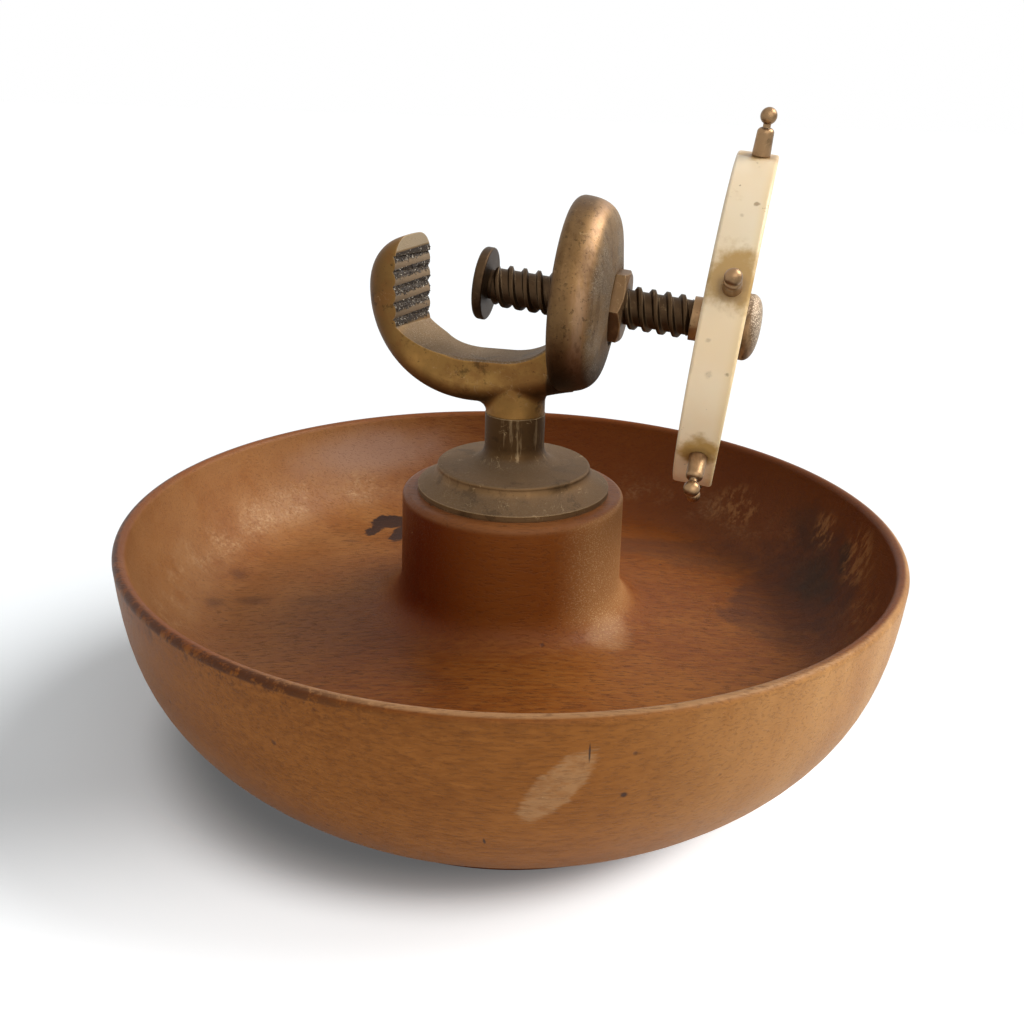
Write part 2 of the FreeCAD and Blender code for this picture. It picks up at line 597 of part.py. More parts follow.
def make_dome_nut():
    """Domed nut that holds the wheel on the spindle."""
    body = new_body("dome_nut")
    dome = outline(
        add_sketch(body, "dome_profile", "XZ_Plane"),
        ("wheel_outer", "stud_radius + fit_gap"), ("wheel_outer", "cap_radius"),
        ("wheel_outer + cap_wall", "cap_radius"),
        ("wheel_outer + cap_height", "0", "curve", "wheel_outer + cap_wall + 2.4", "cap_radius - 0.6",
         "wheel_outer + cap_height", "cap_radius * 0.6"),
        ("wheel_outer + stud_length + stud_room", "0"),
        ("wheel_outer + stud_length + stud_room", "stud_radius + fit_gap"))
    turned(body, dome, "H_Axis")
    place_on_axis(body)
    return body


def check_and_write(bodies):
    """Every object must have computed and every piece must be a sound solid before any is written."""
    doc.recompute()
    failed = [item.Label for item in doc.Objects if {"Invalid", "Error"} & set(item.State)]
    if failed:
        raise RuntimeError("did not compute: " + ", ".join(failed))
    for body in bodies:
        shape = body.Shape
        if shape.isNull() or not shape.isValid() or shape.Volume <= 0:
            raise RuntimeError(f"{body.Label} is not a sound solid")
    os.makedirs("parts", exist_ok=True)
    for body in bodies:
        body.Shape.exportStep(f"parts/{body.Label}.step")
        box = body.Shape.BoundBox
        print(f"{body.Label}: {len(body.Shape.Solids)} solid, volume {body.Shape.Volume:.1f},"
              f" z {box.ZMin:.2f} to {box.ZMax:.2f}")


def main():
    fill_sheet()
    bodies = [make_bowl(), make_pedestal(), *make_tie_rod(), make_jaw_frame(), make_bush(),
              make_spindle(), *make_presser(), *make_wheel()]
    bodies += [make_spoke(number + 1) for number in range(int(size("spoke_count")))]
    bodies.append(make_dome_nut())
    check_and_write(bodies)


main()
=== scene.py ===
import json
import math

import bmesh
import bpy
from mathutils import Matrix, Vector


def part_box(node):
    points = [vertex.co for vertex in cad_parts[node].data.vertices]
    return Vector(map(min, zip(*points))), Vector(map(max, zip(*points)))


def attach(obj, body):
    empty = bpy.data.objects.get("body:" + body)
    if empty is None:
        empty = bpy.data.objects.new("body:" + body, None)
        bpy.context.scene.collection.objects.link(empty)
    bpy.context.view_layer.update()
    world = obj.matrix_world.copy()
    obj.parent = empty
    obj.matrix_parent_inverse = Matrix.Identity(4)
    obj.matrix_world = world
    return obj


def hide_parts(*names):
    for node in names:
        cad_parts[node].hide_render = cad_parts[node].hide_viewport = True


bl_info = {
    "name": "Screw nut cracker finishes",
    "version": (1, 0, 0),
    "blender": (4, 5, 0),
    "location": "3D View > Sidebar > Nut Cracker",
    "description": "Woods, brasses and cream plastic for a wheel-driven screw nut cracker in its turned bowl",
    "category": "Material",
}

# Every piece is in metres: +Z up from the table, +X from the jaw towards the wheel. The screw leans down
# towards the wheel, and crosses the upright axis at AXIS_POINT along SCREW_AXIS.
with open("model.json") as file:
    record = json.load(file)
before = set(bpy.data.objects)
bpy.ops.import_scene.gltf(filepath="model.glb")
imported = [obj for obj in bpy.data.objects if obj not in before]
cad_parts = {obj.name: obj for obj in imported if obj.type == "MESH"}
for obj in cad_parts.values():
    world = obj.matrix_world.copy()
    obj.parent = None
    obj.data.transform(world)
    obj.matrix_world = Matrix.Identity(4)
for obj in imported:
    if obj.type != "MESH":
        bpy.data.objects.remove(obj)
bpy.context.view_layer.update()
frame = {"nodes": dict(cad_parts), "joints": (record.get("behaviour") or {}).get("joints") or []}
HINGE = next(joint for joint in frame["joints"] if joint["type"] == "hinge")
AXIS_POINT = Vector(HINGE["pos_m"])
SCREW_AXIS = Vector(HINGE["axis"]).normalized()
GRAIN_TURN = math.radians(15)
# The teeth follow one another down a slope that leans back from the screw.
TEETH_LEAN = math.radians(14.7)
TEETH_DOWN = Vector((math.sin(TEETH_LEAN), 0, -math.cos(TEETH_LEAN)))
TEETH_OUT = Vector((math.cos(TEETH_LEAN), 0, math.sin(TEETH_LEAN)))
TEETH_TOP = Vector((-0.034, 0, 0.1137)) - TEETH_DOWN * 0.0477
TOOTH_PITCH = 0.00477
TEETH_LENGTH = 4.55 * TOOTH_PITCH
TEETH_BACK, TEETH_FRONT = -0.048, -0.026
# Points nearer than this are one point, and edges bent by more than this stay sharp.
TOUCHING = 1e-6
SHARP_FROM = math.radians(35)
SPOKES = sorted(name for name in frame["nodes"] if name.startswith("spoke_"))


# ---------------------------------------------------------------- node building

def new_material(name):
    material = bpy.data.materials.new(name)
    material.use_nodes = True
    material.node_tree.nodes.clear()
    return material, material.node_tree


def put(tree, kind, sockets=None, **settings):
    """A node with its settings, and its sockets either linked or set. Keys are socket names or numbers."""
    made = tree.nodes.new(kind)
    for name, value in settings.items():
        setattr(made, name, value)
    for key, value in (sockets or {}).items():
        join(value, made.inputs[key])
    return made


def join(value, socket):
    """Links or sets a socket."""
    if isinstance(value, bpy.types.NodeSocket):
        socket.id_data.links.new(value, socket)
    else:
        socket.default_value = value


def beside(kind, sockets, **settings):
    """A node put in the tree of the first socket that it is given."""
    given = next(value for value in sockets.values() if isinstance(value, bpy.types.NodeSocket))
    return put(given.id_data, kind, sockets, **settings)


def value_of(operation, *terms, clamp=False):
    return beside("ShaderNodeMath", dict(enumerate(terms)), operation=operation, use_clamp=clamp).outputs[0]


def vector_of(operation, *terms):
    node = beside("ShaderNodeVectorMath", dict(enumerate(terms)), operation=operation)
    return node.outputs["Value" if operation in ("LENGTH", "DOT_PRODUCT") else "Vector"]


def ramp(value, low, high, start=0.0, end=1.0, smooth=True):
    """Value carried from low..high to start..end."""
    sockets = {"Value": value, "From Min": low, "From Max": high, "To Min": start, "To Max": end}
    return beside("ShaderNodeMapRange", sockets, interpolation_type="SMOOTHSTEP" if smooth else "LINEAR").outputs[0]


def blend(amount, first, second):
    """Two colours mixed by amount. The numbers are the mix node's sockets for colours."""
    return beside("ShaderNodeMix", {0: amount, 6: first, 7: second}, data_type="RGBA").outputs[2]


def noise(vector, scale, detail, rough, distortion=0.0):
    return beside("ShaderNodeTexNoise", {"Vector": vector, "Scale": scale, "Detail": detail,
                                         "Roughness": rough, "Distortion": distortion}).outputs["Fac"]


def object_place(tree):
    return put(tree, "ShaderNodeTexCoord").outputs["Object"]


def moved(vector, location=(0, 0, 0), rotation=(0, 0, 0), scale=(1, 1, 1)):
    return beside("ShaderNodeMapping", {"Vector": vector, "Location": location,
                                        "Rotation": rotation, "Scale": scale}).outputs["Vector"]


def bumped(height, distance, strength, normal=None):
    sockets = {"Height": height, "Distance": distance, "Strength": strength}
    if normal is not None:
        sockets["Normal"] = normal
    return beside("ShaderNodeBump", sockets).outputs["Normal"]


def surface(tree, sockets):
    shader = put(tree, "ShaderNodeBsdfPrincipled", sockets)
    put(tree, "ShaderNodeOutputMaterial", {"Surface": shader.outputs["BSDF"]})


def new_group(name, inputs, outputs, kind="ShaderNodeTree"):
    """A node group, and the sockets of its input and output nodes. Inputs are (name, kind of socket, default)."""
    tree = bpy.data.node_groups.new(name, kind)
    for label, sort, default in inputs:
        socket = tree.interface.new_socket(label, in_out="INPUT", socket_type="NodeSocket" + sort)
        if default is not None:
            socket.default_value = default
    for label, sort in outputs:
        tree.interface.new_socket(label, in_out="OUTPUT", socket_type="NodeSocket" + sort)
    return tree, tree.nodes.new("NodeGroupInput").outputs, tree.nodes.new("NodeGroupOutput").inputs


def use_group(name, sockets):
    return beside("ShaderNodeGroup", sockets, node_tree=bpy.data.node_groups[name]).outputs


def times(*factors):
    product = factors[0]
    for factor in factors[1:]:
        product = value_of("MULTIPLY", product, factor)
    return product


def largest(*masks):
    top = masks[0]
    for mask in masks[1:]:
        top = value_of("MAXIMUM", top, mask)
    return top


def rest_of(mask):
    """What a mask leaves out."""
    return value_of("SUBTRACT", 1.0, mask)


def parts(vector):
    """X, Y and Z of a vector."""
    return beside("ShaderNodeSeparateXYZ", {"Vector": vector}).outputs


def level_part(x, y):
    """The level vector from the upright axis."""
    return beside("ShaderNodeCombineXYZ", {"X": x, "Y": y}).outputs[0]


def surface_normal(tree):
    return put(tree, "ShaderNodeNewGeometry").outputs["Normal"]


def along(vector, direction, origin=None):
    """How far a vector, or a place measured from an origin, reaches along a direction."""
    if origin is not None:
        vector = vector_of("SUBTRACT", vector, origin)
    return vector_of("DOT_PRODUCT", vector, direction)


def patches(vector, scale, low, high, start=0.0, end=1.0, detail=5, rough=0.7, location=(0, 0, 0),
            stretch=(1, 1, 1)):
    """Noise over a moved and stretched vector, carried from low..high to start..end."""
    cloud = noise(moved(vector, location, scale=stretch), scale, detail, rough)
    return ramp(cloud, low, high, start, end)


def rubbed_edge(tree, radius):
    """Mask and rounded normal of edges as wide as a radius."""
    return put(tree, "ShaderNodeGroup", {"Radius": radius}, node_tree=bpy.data.node_groups["Rubbed edge"]).outputs


def tooth_place(place):
    """Depth of a place down the teeth, and how far through its own tooth that is, from 0 to 1."""
    depth = along(place, TEETH_DOWN, TEETH_TOP)
    return depth, value_of("FRACT", value_of("DIVIDE", depth, TOOTH_PITCH))


def ragged_spot(place, centre, reach, ragged, scale, soft):
    """A ragged spot. Its centre and reach are in millimetres."""
    return use_group("Ragged spot", {
        "Vector": place, "Centre": Vector(centre) / 1000, "Reach": Vector(reach) / 1000,
        "Raggedness": ragged, "Ragged scale": scale, "Softness": soft})["Mask"]


def spots(place, rows):
    """The strongest of several ragged spots. Each row has its strength last."""
    return largest(*(times(ragged_spot(place, *row[:-1]), row[-1]) for row in rows))


class Coat:
    """A colour laid over in layers, each where the product of its masks says."""

    def __init__(self, colour):
        self.colour = colour

    def layer(self, colour, *masks):
        self.colour = blend(times(*masks), self.colour, colour)


# ---------------------------------------------------------------- shared effects

def build_spot_group():
    """A ragged spot: 1 at its middle, 0 outside its reach."""
    _, given, gives = new_group(
        "Ragged spot",
        [("Vector", "Vector", None), ("Centre", "Vector", (0, 0, 0)), ("Reach", "Vector", (0.01, 0.01, 0.01)),
         ("Raggedness", "Float", 0.4), ("Ragged scale", "Float", 90.0), ("Softness", "Float", 0.3)],
        [("Mask", "Float")])
    offset = vector_of("SUBTRACT", given["Vector"], given["Centre"])
    distance = vector_of("LENGTH", vector_of("DIVIDE", offset, given["Reach"]))
    wander = value_of("SUBTRACT", noise(given["Vector"], given["Ragged scale"], 5, 0.6), 0.5)
    distance = value_of("ADD", distance, times(wander, given["Raggedness"]))
    join(ramp(distance, 1.0, rest_of(given["Softness"])), gives["Mask"])


def build_wood_group():
    """Straight-grained wood: fibres, broad figure, dark pores along the grain, pale specks, pits and crumbs."""
    tree, given, gives = new_group(
        "Turned wood",
        [("Vector", "Vector", None), ("Fibre scale", "Float", 760.0), ("Figure scale", "Float", 22.0),
         ("Pore scale", "Float", 1700.0), ("Speck scale", "Float", 2500.0)],
        [(label, "Float") for label in ("Fibres", "Figure", "Pores", "Specks", "Pits", "Crumbs", "End grain")])
    grain = moved(given["Vector"], rotation=(0, 0, -GRAIN_TURN))
    fibrous = moved(grain, scale=(0.17, 1, 1))
    join(noise(fibrous, given["Fibre scale"], 7, 0.65), gives["Fibres"])
    figured = moved(grain, scale=(0.35, 1, 1))
    join(noise(figured, given["Figure scale"], 4, 0.55, 0.5), gives["Figure"])
    join(patches(grain, given["Pore scale"], 0.53, 0.63, detail=3, rough=0.6, location=(3, 1, 2),
                 stretch=(0.16, 1, 1)), gives["Pores"])
    join(patches(grain, given["Speck scale"], 0.53, 0.66, detail=2, rough=0.6, location=(7, 3, 1),
                 stretch=(0.35, 1, 1)), gives["Specks"])
    for label, scale, chosen_above, size in (("Pits", 105.0, 0.84, 0.10), ("Crumbs", 190.0, 0.94, 0.06)):
        cells = put(tree, "ShaderNodeTexVoronoi", {"Vector": given["Vector"], "Scale": scale}).outputs
        lot = put(tree, "ShaderNodeSeparateColor", {"Color": cells["Color"]}).outputs[0]
        chosen = value_of("GREATER_THAN", lot, chosen_above)
        join(times(ramp(cells["Distance"], size, size * 0.4), chosen), gives[label])
    facing = along(surface_normal(tree), (math.cos(GRAIN_TURN), math.sin(GRAIN_TURN), 0))
    join(value_of("ABSOLUTE", facing), gives["End grain"])


def build_patina_group():
    """Aged brass: cloudy tone, ragged pits, wiry scratches, grime in hollows, and a frost of fine specks."""
    tree, given, gives = new_group(
        "Brass patina",
        [("Vector", "Vector", None), ("Cloud scale", "Float", 60.0), ("Pit scale", "Float", 1300.0),
         ("Scratch scale", "Float", 260.0), ("Grime reach", "Float", 0.004)],
        [(label, "Float") for label in ("Clouds", "Pits", "Scratches", "Grime", "Grain", "Frost", "Mottles")])
    place = given["Vector"]
    clouds = noise(place, given["Cloud scale"], 6, 0.62, 0.4)
    join(clouds, gives["Clouds"])
    join(patches(place, given["Pit scale"], 0.645, 0.70, detail=3), gives["Pits"])
    curl = value_of("SUBTRACT", noise(place, given["Scratch scale"], 2, 0.5, 1.2), 0.5)
    line = ramp(value_of("ABSOLUTE", curl), 0.014, 0.004)
    scratched = patches(place, 170, 0.54, 0.64, detail=3, rough=0.6, location=(2, 5, 1))
    join(times(line, scratched), gives["Scratches"])
    hollow = put(tree, "ShaderNodeAmbientOcclusion", {"Distance": given["Grime reach"]},
                 samples=8, only_local=True).outputs["AO"]
    cloudy = value_of("MULTIPLY_ADD", clouds, 0.5, -0.25)
    join(ramp(value_of("ADD", rest_of(hollow), cloudy), 0.22, 0.62), gives["Grime"])
    join(noise(place, 1800, 3, 0.6), gives["Grain"])
    join(patches(place, 2400, 0.51, 0.62, detail=2, rough=0.6), gives["Frost"])
    join(patches(place, 105, 0.545, 0.64, detail=6, rough=0.75, location=(4, 1, 3)), gives["Mottles"])


def build_wear_group():
    """Rubbed edges: how far the rounded normal leaves the true one."""
    tree, given, gives = new_group(
        "Rubbed edge", [("Radius", "Float", 0.0006)], [("Mask", "Float"), ("Normal", "Vector")])
    soft = put(tree, "ShaderNodeBevel", {"Radius": given["Radius"]}, samples=6).outputs["Normal"]
    join(ramp(along(soft, surface_normal(tree)), 0.995, 0.90), gives["Mask"])
    join(soft, gives["Normal"])


# ---------------------------------------------------------------- settings

def colour_setting(name, description, value):
    return bpy.props.FloatVectorProperty(name=name, description=description, subtype="COLOR", size=4,
                                         min=0.0, max=1.0, default=(*value, 1.0))


def length_setting(name, description, metres):
    return bpy.props.FloatProperty(name=name, description=description, default=metres, unit="LENGTH")


def angle_setting(name, description, degrees):
    return bpy.props.FloatProperty(name=name, description=description, default=math.radians(degrees), subtype="ANGLE")


def amount_setting(name, description, value):
    return bpy.props.FloatProperty(name=name, description=description, default=value, min=0.0)


class NutCrackerWood(bpy.types.PropertyGroup):
    """Shape and colours of the turned bowl."""
    turn_steps: bpy.props.IntProperty(name="Turn steps", description="Facets round the bowl", default=384, min=96)
    light: colour_setting("Light wood", "Palest fibres of the bowl's outside", (0.300, 0.106, 0.019))
    tan: colour_setting("Tan wood", "Main colour of the bowl's outside", (0.195, 0.061, 0.008))
    # painted shade: the left side of the bowl's outside, which faces away from the key lamp
    shaded: colour_setting("Dull wood", "Left side of the outside", (0.120, 0.042, 0.006))
    # partly paler wood and partly painted light on the outside's right side, towards the key lamp
    bleached_and_lit: colour_setting("Bleached wood", "Pale right side of the outside", (0.56, 0.285, 0.098))
    brown: colour_setting("Brown wood", "Lighter fibres inside the bowl", (0.280, 0.098, 0.019))
    red: colour_setting("Red wood", "Deeper colour inside the bowl", (0.170, 0.042, 0.007))
    lit: colour_setting("Lit wood", "Yellower left side of the inside", (0.38, 0.190, 0.075))
    # painted shade on the inside's right wall
    dim: colour_setting("Dim wood", "Darker right wall of the inside", (0.090, 0.024, 0.006))
    # painted shade on the post's left side, in a deeper red
    deep: colour_setting("Deep red wood", "Darkest side of the post", (0.105, 0.012, 0.001))
    glow: colour_setting("Warm red wood", "Red brown of the post", (0.225, 0.062, 0.010))
    post_top: colour_setting("Post top", "Orange brown of the post's upper edge", (0.27, 0.105, 0.035))
    foot: colour_setting("Foot", "Dark orange brown of the foot's band", (0.125, 0.028, 0.004))
    # painted sheen on the back wall
    painted_sheen: colour_setting("Haze", "Dull pinkish haze on the back wall", (0.36, 0.225, 0.165))
    # this dust colour also stands in as a painted highlight on the cove at the post's foot
    dust: colour_setting("Dust", "Pale dust at the foot of the post", (0.50, 0.33, 0.21))
    stain: colour_setting("Stain", "Purple brown stain in the bowl", (0.080, 0.030, 0.016))
    mould: colour_setting("Dark stain", "Darkest part of the stain", (0.036, 0.024, 0.014))
    ink: colour_setting("Ink", "Black ink stain and nicks", (0.016, 0.014, 0.017))
    pore: colour_setting("Pore", "Dirt in the pores", (0.070, 0.022, 0.007))
    # also the painted highlight along the front of the lip
    pale: colour_setting("Rubbed wood", "Bare rubbed wood", (0.52, 0.31, 0.15))
    gold: colour_setting("Golden wood", "Open end grain and streaks", (0.40, 0.185, 0.065))
    fleck: colour_setting("Fleck", "Fine flecks in the open end grain", (0.56, 0.33, 0.15))


class NutCrackerBrass(bpy.types.PropertyGroup):
    """Colours of the brass and steel pieces, and the grit between the teeth."""
    arm: colour_setting("Frame brass", "Golden brown of the jaw frame", (0.255, 0.137, 0.040))
    # painted shade on the arm's back and underside, and also dark streaks and patches on the disc
    dusky: colour_setting("Dusky brass", "Dark brown of backs, undersides and scorched places", (0.085, 0.042, 0.016))
    gilt: colour_setting("Gilt", "Golden scratched place on the arm", (0.36, 0.205, 0.062))
    russet: colour_setting("Russet", "Red brown clouds on the frame", (0.17, 0.070, 0.022))
    band: colour_setting("Disc band", "Browner brass round the disc", (0.135, 0.078, 0.036))
    # partly a rubbed edge, partly a painted highlight
    ridge: colour_setting("Disc ridge", "Rubbed edge of the disc", (0.34, 0.21, 0.120))
    face: colour_setting("Disc face", "Grey brown of the disc's face", (0.180, 0.138, 0.095))
    cast: colour_setting("Cast brass", "Rough top of the lower arm", (0.200, 0.148, 0.096))
    frost: colour_setting("Frosted brass", "Pale grey brown of teeth and dust", (0.245, 0.175, 0.108))
    speck: colour_setting("Speck", "Pale specks on rough faces", (0.52, 0.43, 0.32))
    # painted highlight: the flat above the teeth, pale where it faces the key lamp
    tip: colour_setting("Jaw tip", "Pale flat above the teeth", (0.40, 0.315, 0.205))
    crumb: colour_setting("Crumb", "Pale crumbs among the dirt of the teeth", (0.66, 0.58, 0.47))
    plate: colour_setting("Pedestal brass", "Dull olive brown of the pedestal", (0.165, 0.094, 0.042))
    neck: colour_setting("Neck brass", "Dark brown of the pedestal's neck", (0.060, 0.030, 0.011))
    dust: colour_setting("Dusty brass", "Dust on what faces up", (0.185, 0.112, 0.054))
    bush: colour_setting("Bush brass", "Warm brown of the threaded bush", (0.185, 0.108, 0.052))
    screw: colour_setting("Screw brass", "Dark brown of the screw", (0.066, 0.038, 0.019))
    pins: colour_setting("Pin brass", "Brown of spokes, hub and cap", (0.300, 0.180, 0.090))
    cap_dark: colour_setting("Cap hollows", "Brown between the cap's frost", (0.13, 0.075, 0.038))
    # frost that is partly painted light, where the cap faces the key lamp
    cap_pale: colour_setting("Cap frost", "Pale frost of the cap", (0.74, 0.60, 0.44))
    # also the painted shade on the upper part of each tooth
    grime_and_shade: colour_setting("Grime", "Dirt in hollows and pits", (0.020, 0.012, 0.007))
    # also the painted highlight streaks on the pedestal's neck
    bright: colour_setting("Bright brass", "Rubbed metal on edges", (0.46, 0.32, 0.17))
    steel_dark: colour_setting("Dark steel", "Darker clouds of the tie rod", (0.20, 0.185, 0.17))
    steel_pale: colour_setting("Pale steel", "Paler clouds of the tie rod", (0.40, 0.39, 0.37))
    grit_size: length_setting("Grit size", "Radius of a grain", 0.00026)
    grit_density: amount_setting("Grit density", "Grains on a square metre", 4.0e6)
    grit_dark: colour_setting("Dark grit", "Darkest grains", (0.010, 0.007, 0.006))
    grit_brown: colour_setting("Brown grit", "Most grains", (0.060, 0.040, 0.024))
    grit_pale: colour_setting("Pale grit", "Few pale grains", (0.62, 0.55, 0.44))


class NutCrackerRim(bpy.types.PropertyGroup):
    """Colours of the wheel's rim."""
    cream: colour_setting("Cream", "Main colour of the rim", (0.90, 0.68, 0.42))
    pale: colour_setting("Pale cream", "Lightest cream", (0.94, 0.79, 0.56))
    upper: colour_setting("Upper rim", "Duller cream high on the rim", (0.70, 0.56, 0.375))
    yellowed: colour_setting("Yellowed rim", "Yellow of the edge by the cap", (0.80, 0.56, 0.24))
    ochre: colour_setting("Ochre stain", "Wide stain round the pins", (0.45, 0.260, 0.066))
    stain: colour_setting("Brown stain", "Dark stain at the pins", (0.20, 0.105, 0.030))


class NutCrackerStage(bpy.types.PropertyGroup):
    """Floor, lamps and camera."""
    floor_width: length_setting("Floor width", "Side of the square floor", 30.0)
    floor: colour_setting("Floor", "Colour of the floor", (0.85, 0.88, 0.895))
    # the floor's painted shadow under the bowl
    contact_reach: length_setting("Contact shadow", "Reach of the dark under the bowl", 0.100)
    contact_depth: length_setting("Contact fade", "Width over which that dark fades", 0.023)
    ambient: amount_setting("Ambient light", "Strength of the even light", 0.31)
    key: amount_setting("Key lamp", "Strength of the main lamp", 3.0)
    key_width: angle_setting("Key width", "Angle the main lamp fills", 38)
    key_turn: angle_setting("Key direction", "Compass angle the main lamp comes from", 25)
    key_rise: angle_setting("Key height", "Angle of the main lamp above the floor", 42)
    fill: amount_setting("Fill lamp", "Strength of the weak lamp", 1.05)
    fill_width: angle_setting("Fill width", "Angle the weak lamp fills", 60)
    fill_turn: angle_setting("Fill direction", "Compass angle the weak lamp comes from", -60)
    fill_rise: angle_setting("Fill height", "Angle of the weak lamp above the floor", 28)
    camera_turn: angle_setting("Camera turn", "Compass angle the camera is turned by", 13.2)
    camera_dip: angle_setting("Camera dip", "Angle the camera looks down by", 21.264)
    camera_roll: angle_setting("Camera roll", "Angle the picture is rolled by", math.degrees(0.0294))
    camera_back: length_setting("Camera distance", "Level distance from the upright axis", 0.32418)
    camera_height: length_setting("Camera height", "Height above the floor", 0.20555)
    camera_side: length_setting("Camera offset", "Distance to the left of the upright axis", 0.00011)
    camera_lens: amount_setting("Lens", "Focal length in millimetres", 36.914)


# ---------------------------------------------------------------- materials

# Spots on the wood: centre and reach in millimetres, raggedness, ragged scale, softness, strength.
STAIN_SPOTS = (((100, 38, 48), (27, 45, 24), 1.3, 70, 0.4, 1.0),
               ((88, 22, 45), (18, 31, 12), 1.1, 80, 0.3, 0.9),
               ((60, 64, 45), (42, 18, 5), 1.1, 80, 0.4, 0.7))
MOULD_SPOTS = (((101, 40, 50), (13, 21, 11), 1.5, 90, 0.8, 1.0),
               ((110, 38, 62), (2.8, 8, 9), 1.2, 160, 0.6, 1.0),
               ((103, 62, 62), (16, 26, 12), 2.0, 120, 0.7, 0.6))
STREAK_SPOTS = (((114, 30, 65), (9, 17, 13), 0.4, 90, 0.6, 1.0),
                ((104, 55, 64), (7, 10, 9), 0.4, 90, 0.6, 1.0),
                ((72, 89, 57), (20, 12, 11), 0.5, 90, 0.6, 0.8),
                ((112, 2, 62), (9, 18, 13), 0.4, 90, 0.6, 0.6))
INK_SPOTS = (((-65.5, 60.5, 45), (8.4, 8.5, 8), 0.8, 330, 0.15, 1.0),
             ((-68, 50, 45), (3.6, 7.5, 8), 1.3, 420, 0.25, 1.0),
             ((-55.5, 50, 45), (5.5, 12, 8), 0.7, 330, 0.2, 1.0))
INK_GAPS = (((-62.5, 45, 45), (3.6, 7.0, 8), 0.7, 330, 0.2, 1.0),)
SMUDGE_SPOTS = (((-99, -4, 45), (4.5, 6, 5), 1.3, 220, 0.9, 1.0),
                ((-96, -28, 45), (5, 6, 5), 1.0, 150, 0.9, 1.0),
                ((-85, -22, 45), (9, 5, 5), 1.2, 120, 0.9, 1.0),
                ((-65, -19, 46), (10, 6, 5), 1.2, 120, 0.9, 0.6),
                ((-16, -57, 46.5), (12, 6, 5), 1.0, 90, 0.9, 0.6),
                ((-72, 36, 45), (6, 1.6, 5), 1.2, 200, 0.8, 1.0))
NICK_SPOTS = (((54.5, -110.1, 56), (1.2, 1.2, 1.2), 0.5, 600, 0.7, 1.0),
              ((46.6, -115.6, 69.5), (0.3, 2, 3.6), 0.5, 300, 0.6, 1.0),
              ((-52.5, -104.5, 47), (0.4, 3, 2.6), 0.4, 300, 0.6, 1.0),
              ((22.5, -115.5, 40), (0.45, 3, 1.7), 0.4, 300, 0.6, 1.0))
# painted sheen on the upper left of the back wall
PAINTED_SHEEN_SPOTS = (((-78, 82, 66), (55, 42, 13), 0.5, 60, 0.8, 1.0),)
# pale dust and a painted highlight on the cove at the post's foot
DUST_AND_SHEEN_SPOTS = (((36, -18, 49), (10, 14, 7), 0.8, 200, 0.8, 1.0),)
# The rubbed place on the bowl's outside leans over.
RUBBED_CENTRE = Vector((0.0395, -0.1168, 0.0595))
RUBBED_REACH = (0.0046, 0.012, 0.0125)
RUBBED_LEAN = math.radians(36)
# Heights and radii the bowl's masks are measured from.
BOWL_TOP = 0.0790
BOWL_RADIUS = 0.125


def bowl_tones(wood, place, grain, masks):
    """The bowl's plain tones: tan outside with painted shade on its left and a right side paler in wood and in
    painted light, redder inside with painted light on the left wall and painted shade on the right wall, dark red on
    the post's left, partly painted shade.
    """
    x, y, z = parts(place)
    figure = value_of("MULTIPLY_ADD", grain["Figure"], 0.9, -0.45)
    tone = value_of("ADD", grain["Fibres"], figure)
    outer = Coat(blend(ramp(tone, 0.2, 0.8), wood.tan, wood.light))
    # right side of the outside paler: partly paler wood, partly painted light
    outer.layer(wood.bleached_and_lit, ramp(x, 0.040, 0.120),
                patches(place, 70, 0.25, 0.75, 0.5, 1.0, rough=0.6, stretch=(1, 1, 0.25)))
    # painted shade on the left of the outside
    outer.layer(wood.shaded, ramp(x, -0.050, -0.120, 0.0, 0.5))
    inner = Coat(blend(ramp(tone, 0.2, 0.85), wood.red, wood.brown))
    inner.layer(wood.red, ramp(y, 0.030, 0.095), ramp(x, -0.075, 0.010), 0.75)
    inner.layer(wood.glow, masks["post"], 0.75)
    # painted shade on the left of the post, in deeper red
    inner.layer(wood.deep, masks["post"], ramp(x, 0.008, -0.026))
    inner.layer(wood.post_top, masks["post"], ramp(z, 0.0850, 0.0868), 0.65)
    inner.layer(wood.red, patches(place, 38, 0.46, 0.66, detail=6, location=(5, 5, 5)), 0.45)
    wall = ramp(masks["radius"], 0.094, 0.106)
    lit = largest(times(wall, ramp(x, -0.040, -0.095)), ramp(x, -0.020, -0.085, 0.0, 0.7))
    inner.layer(wood.lit, lit, patches(place, 32, 0.30, 0.62, 0.45, 1.0, rough=0.65), 0.60)
    # painted shade on the right wall of the inside
    inner.layer(wood.dim, wall, ramp(x, 0.020, 0.070), 0.35)
    return blend(masks["outside"], inner.colour, outer.colour)


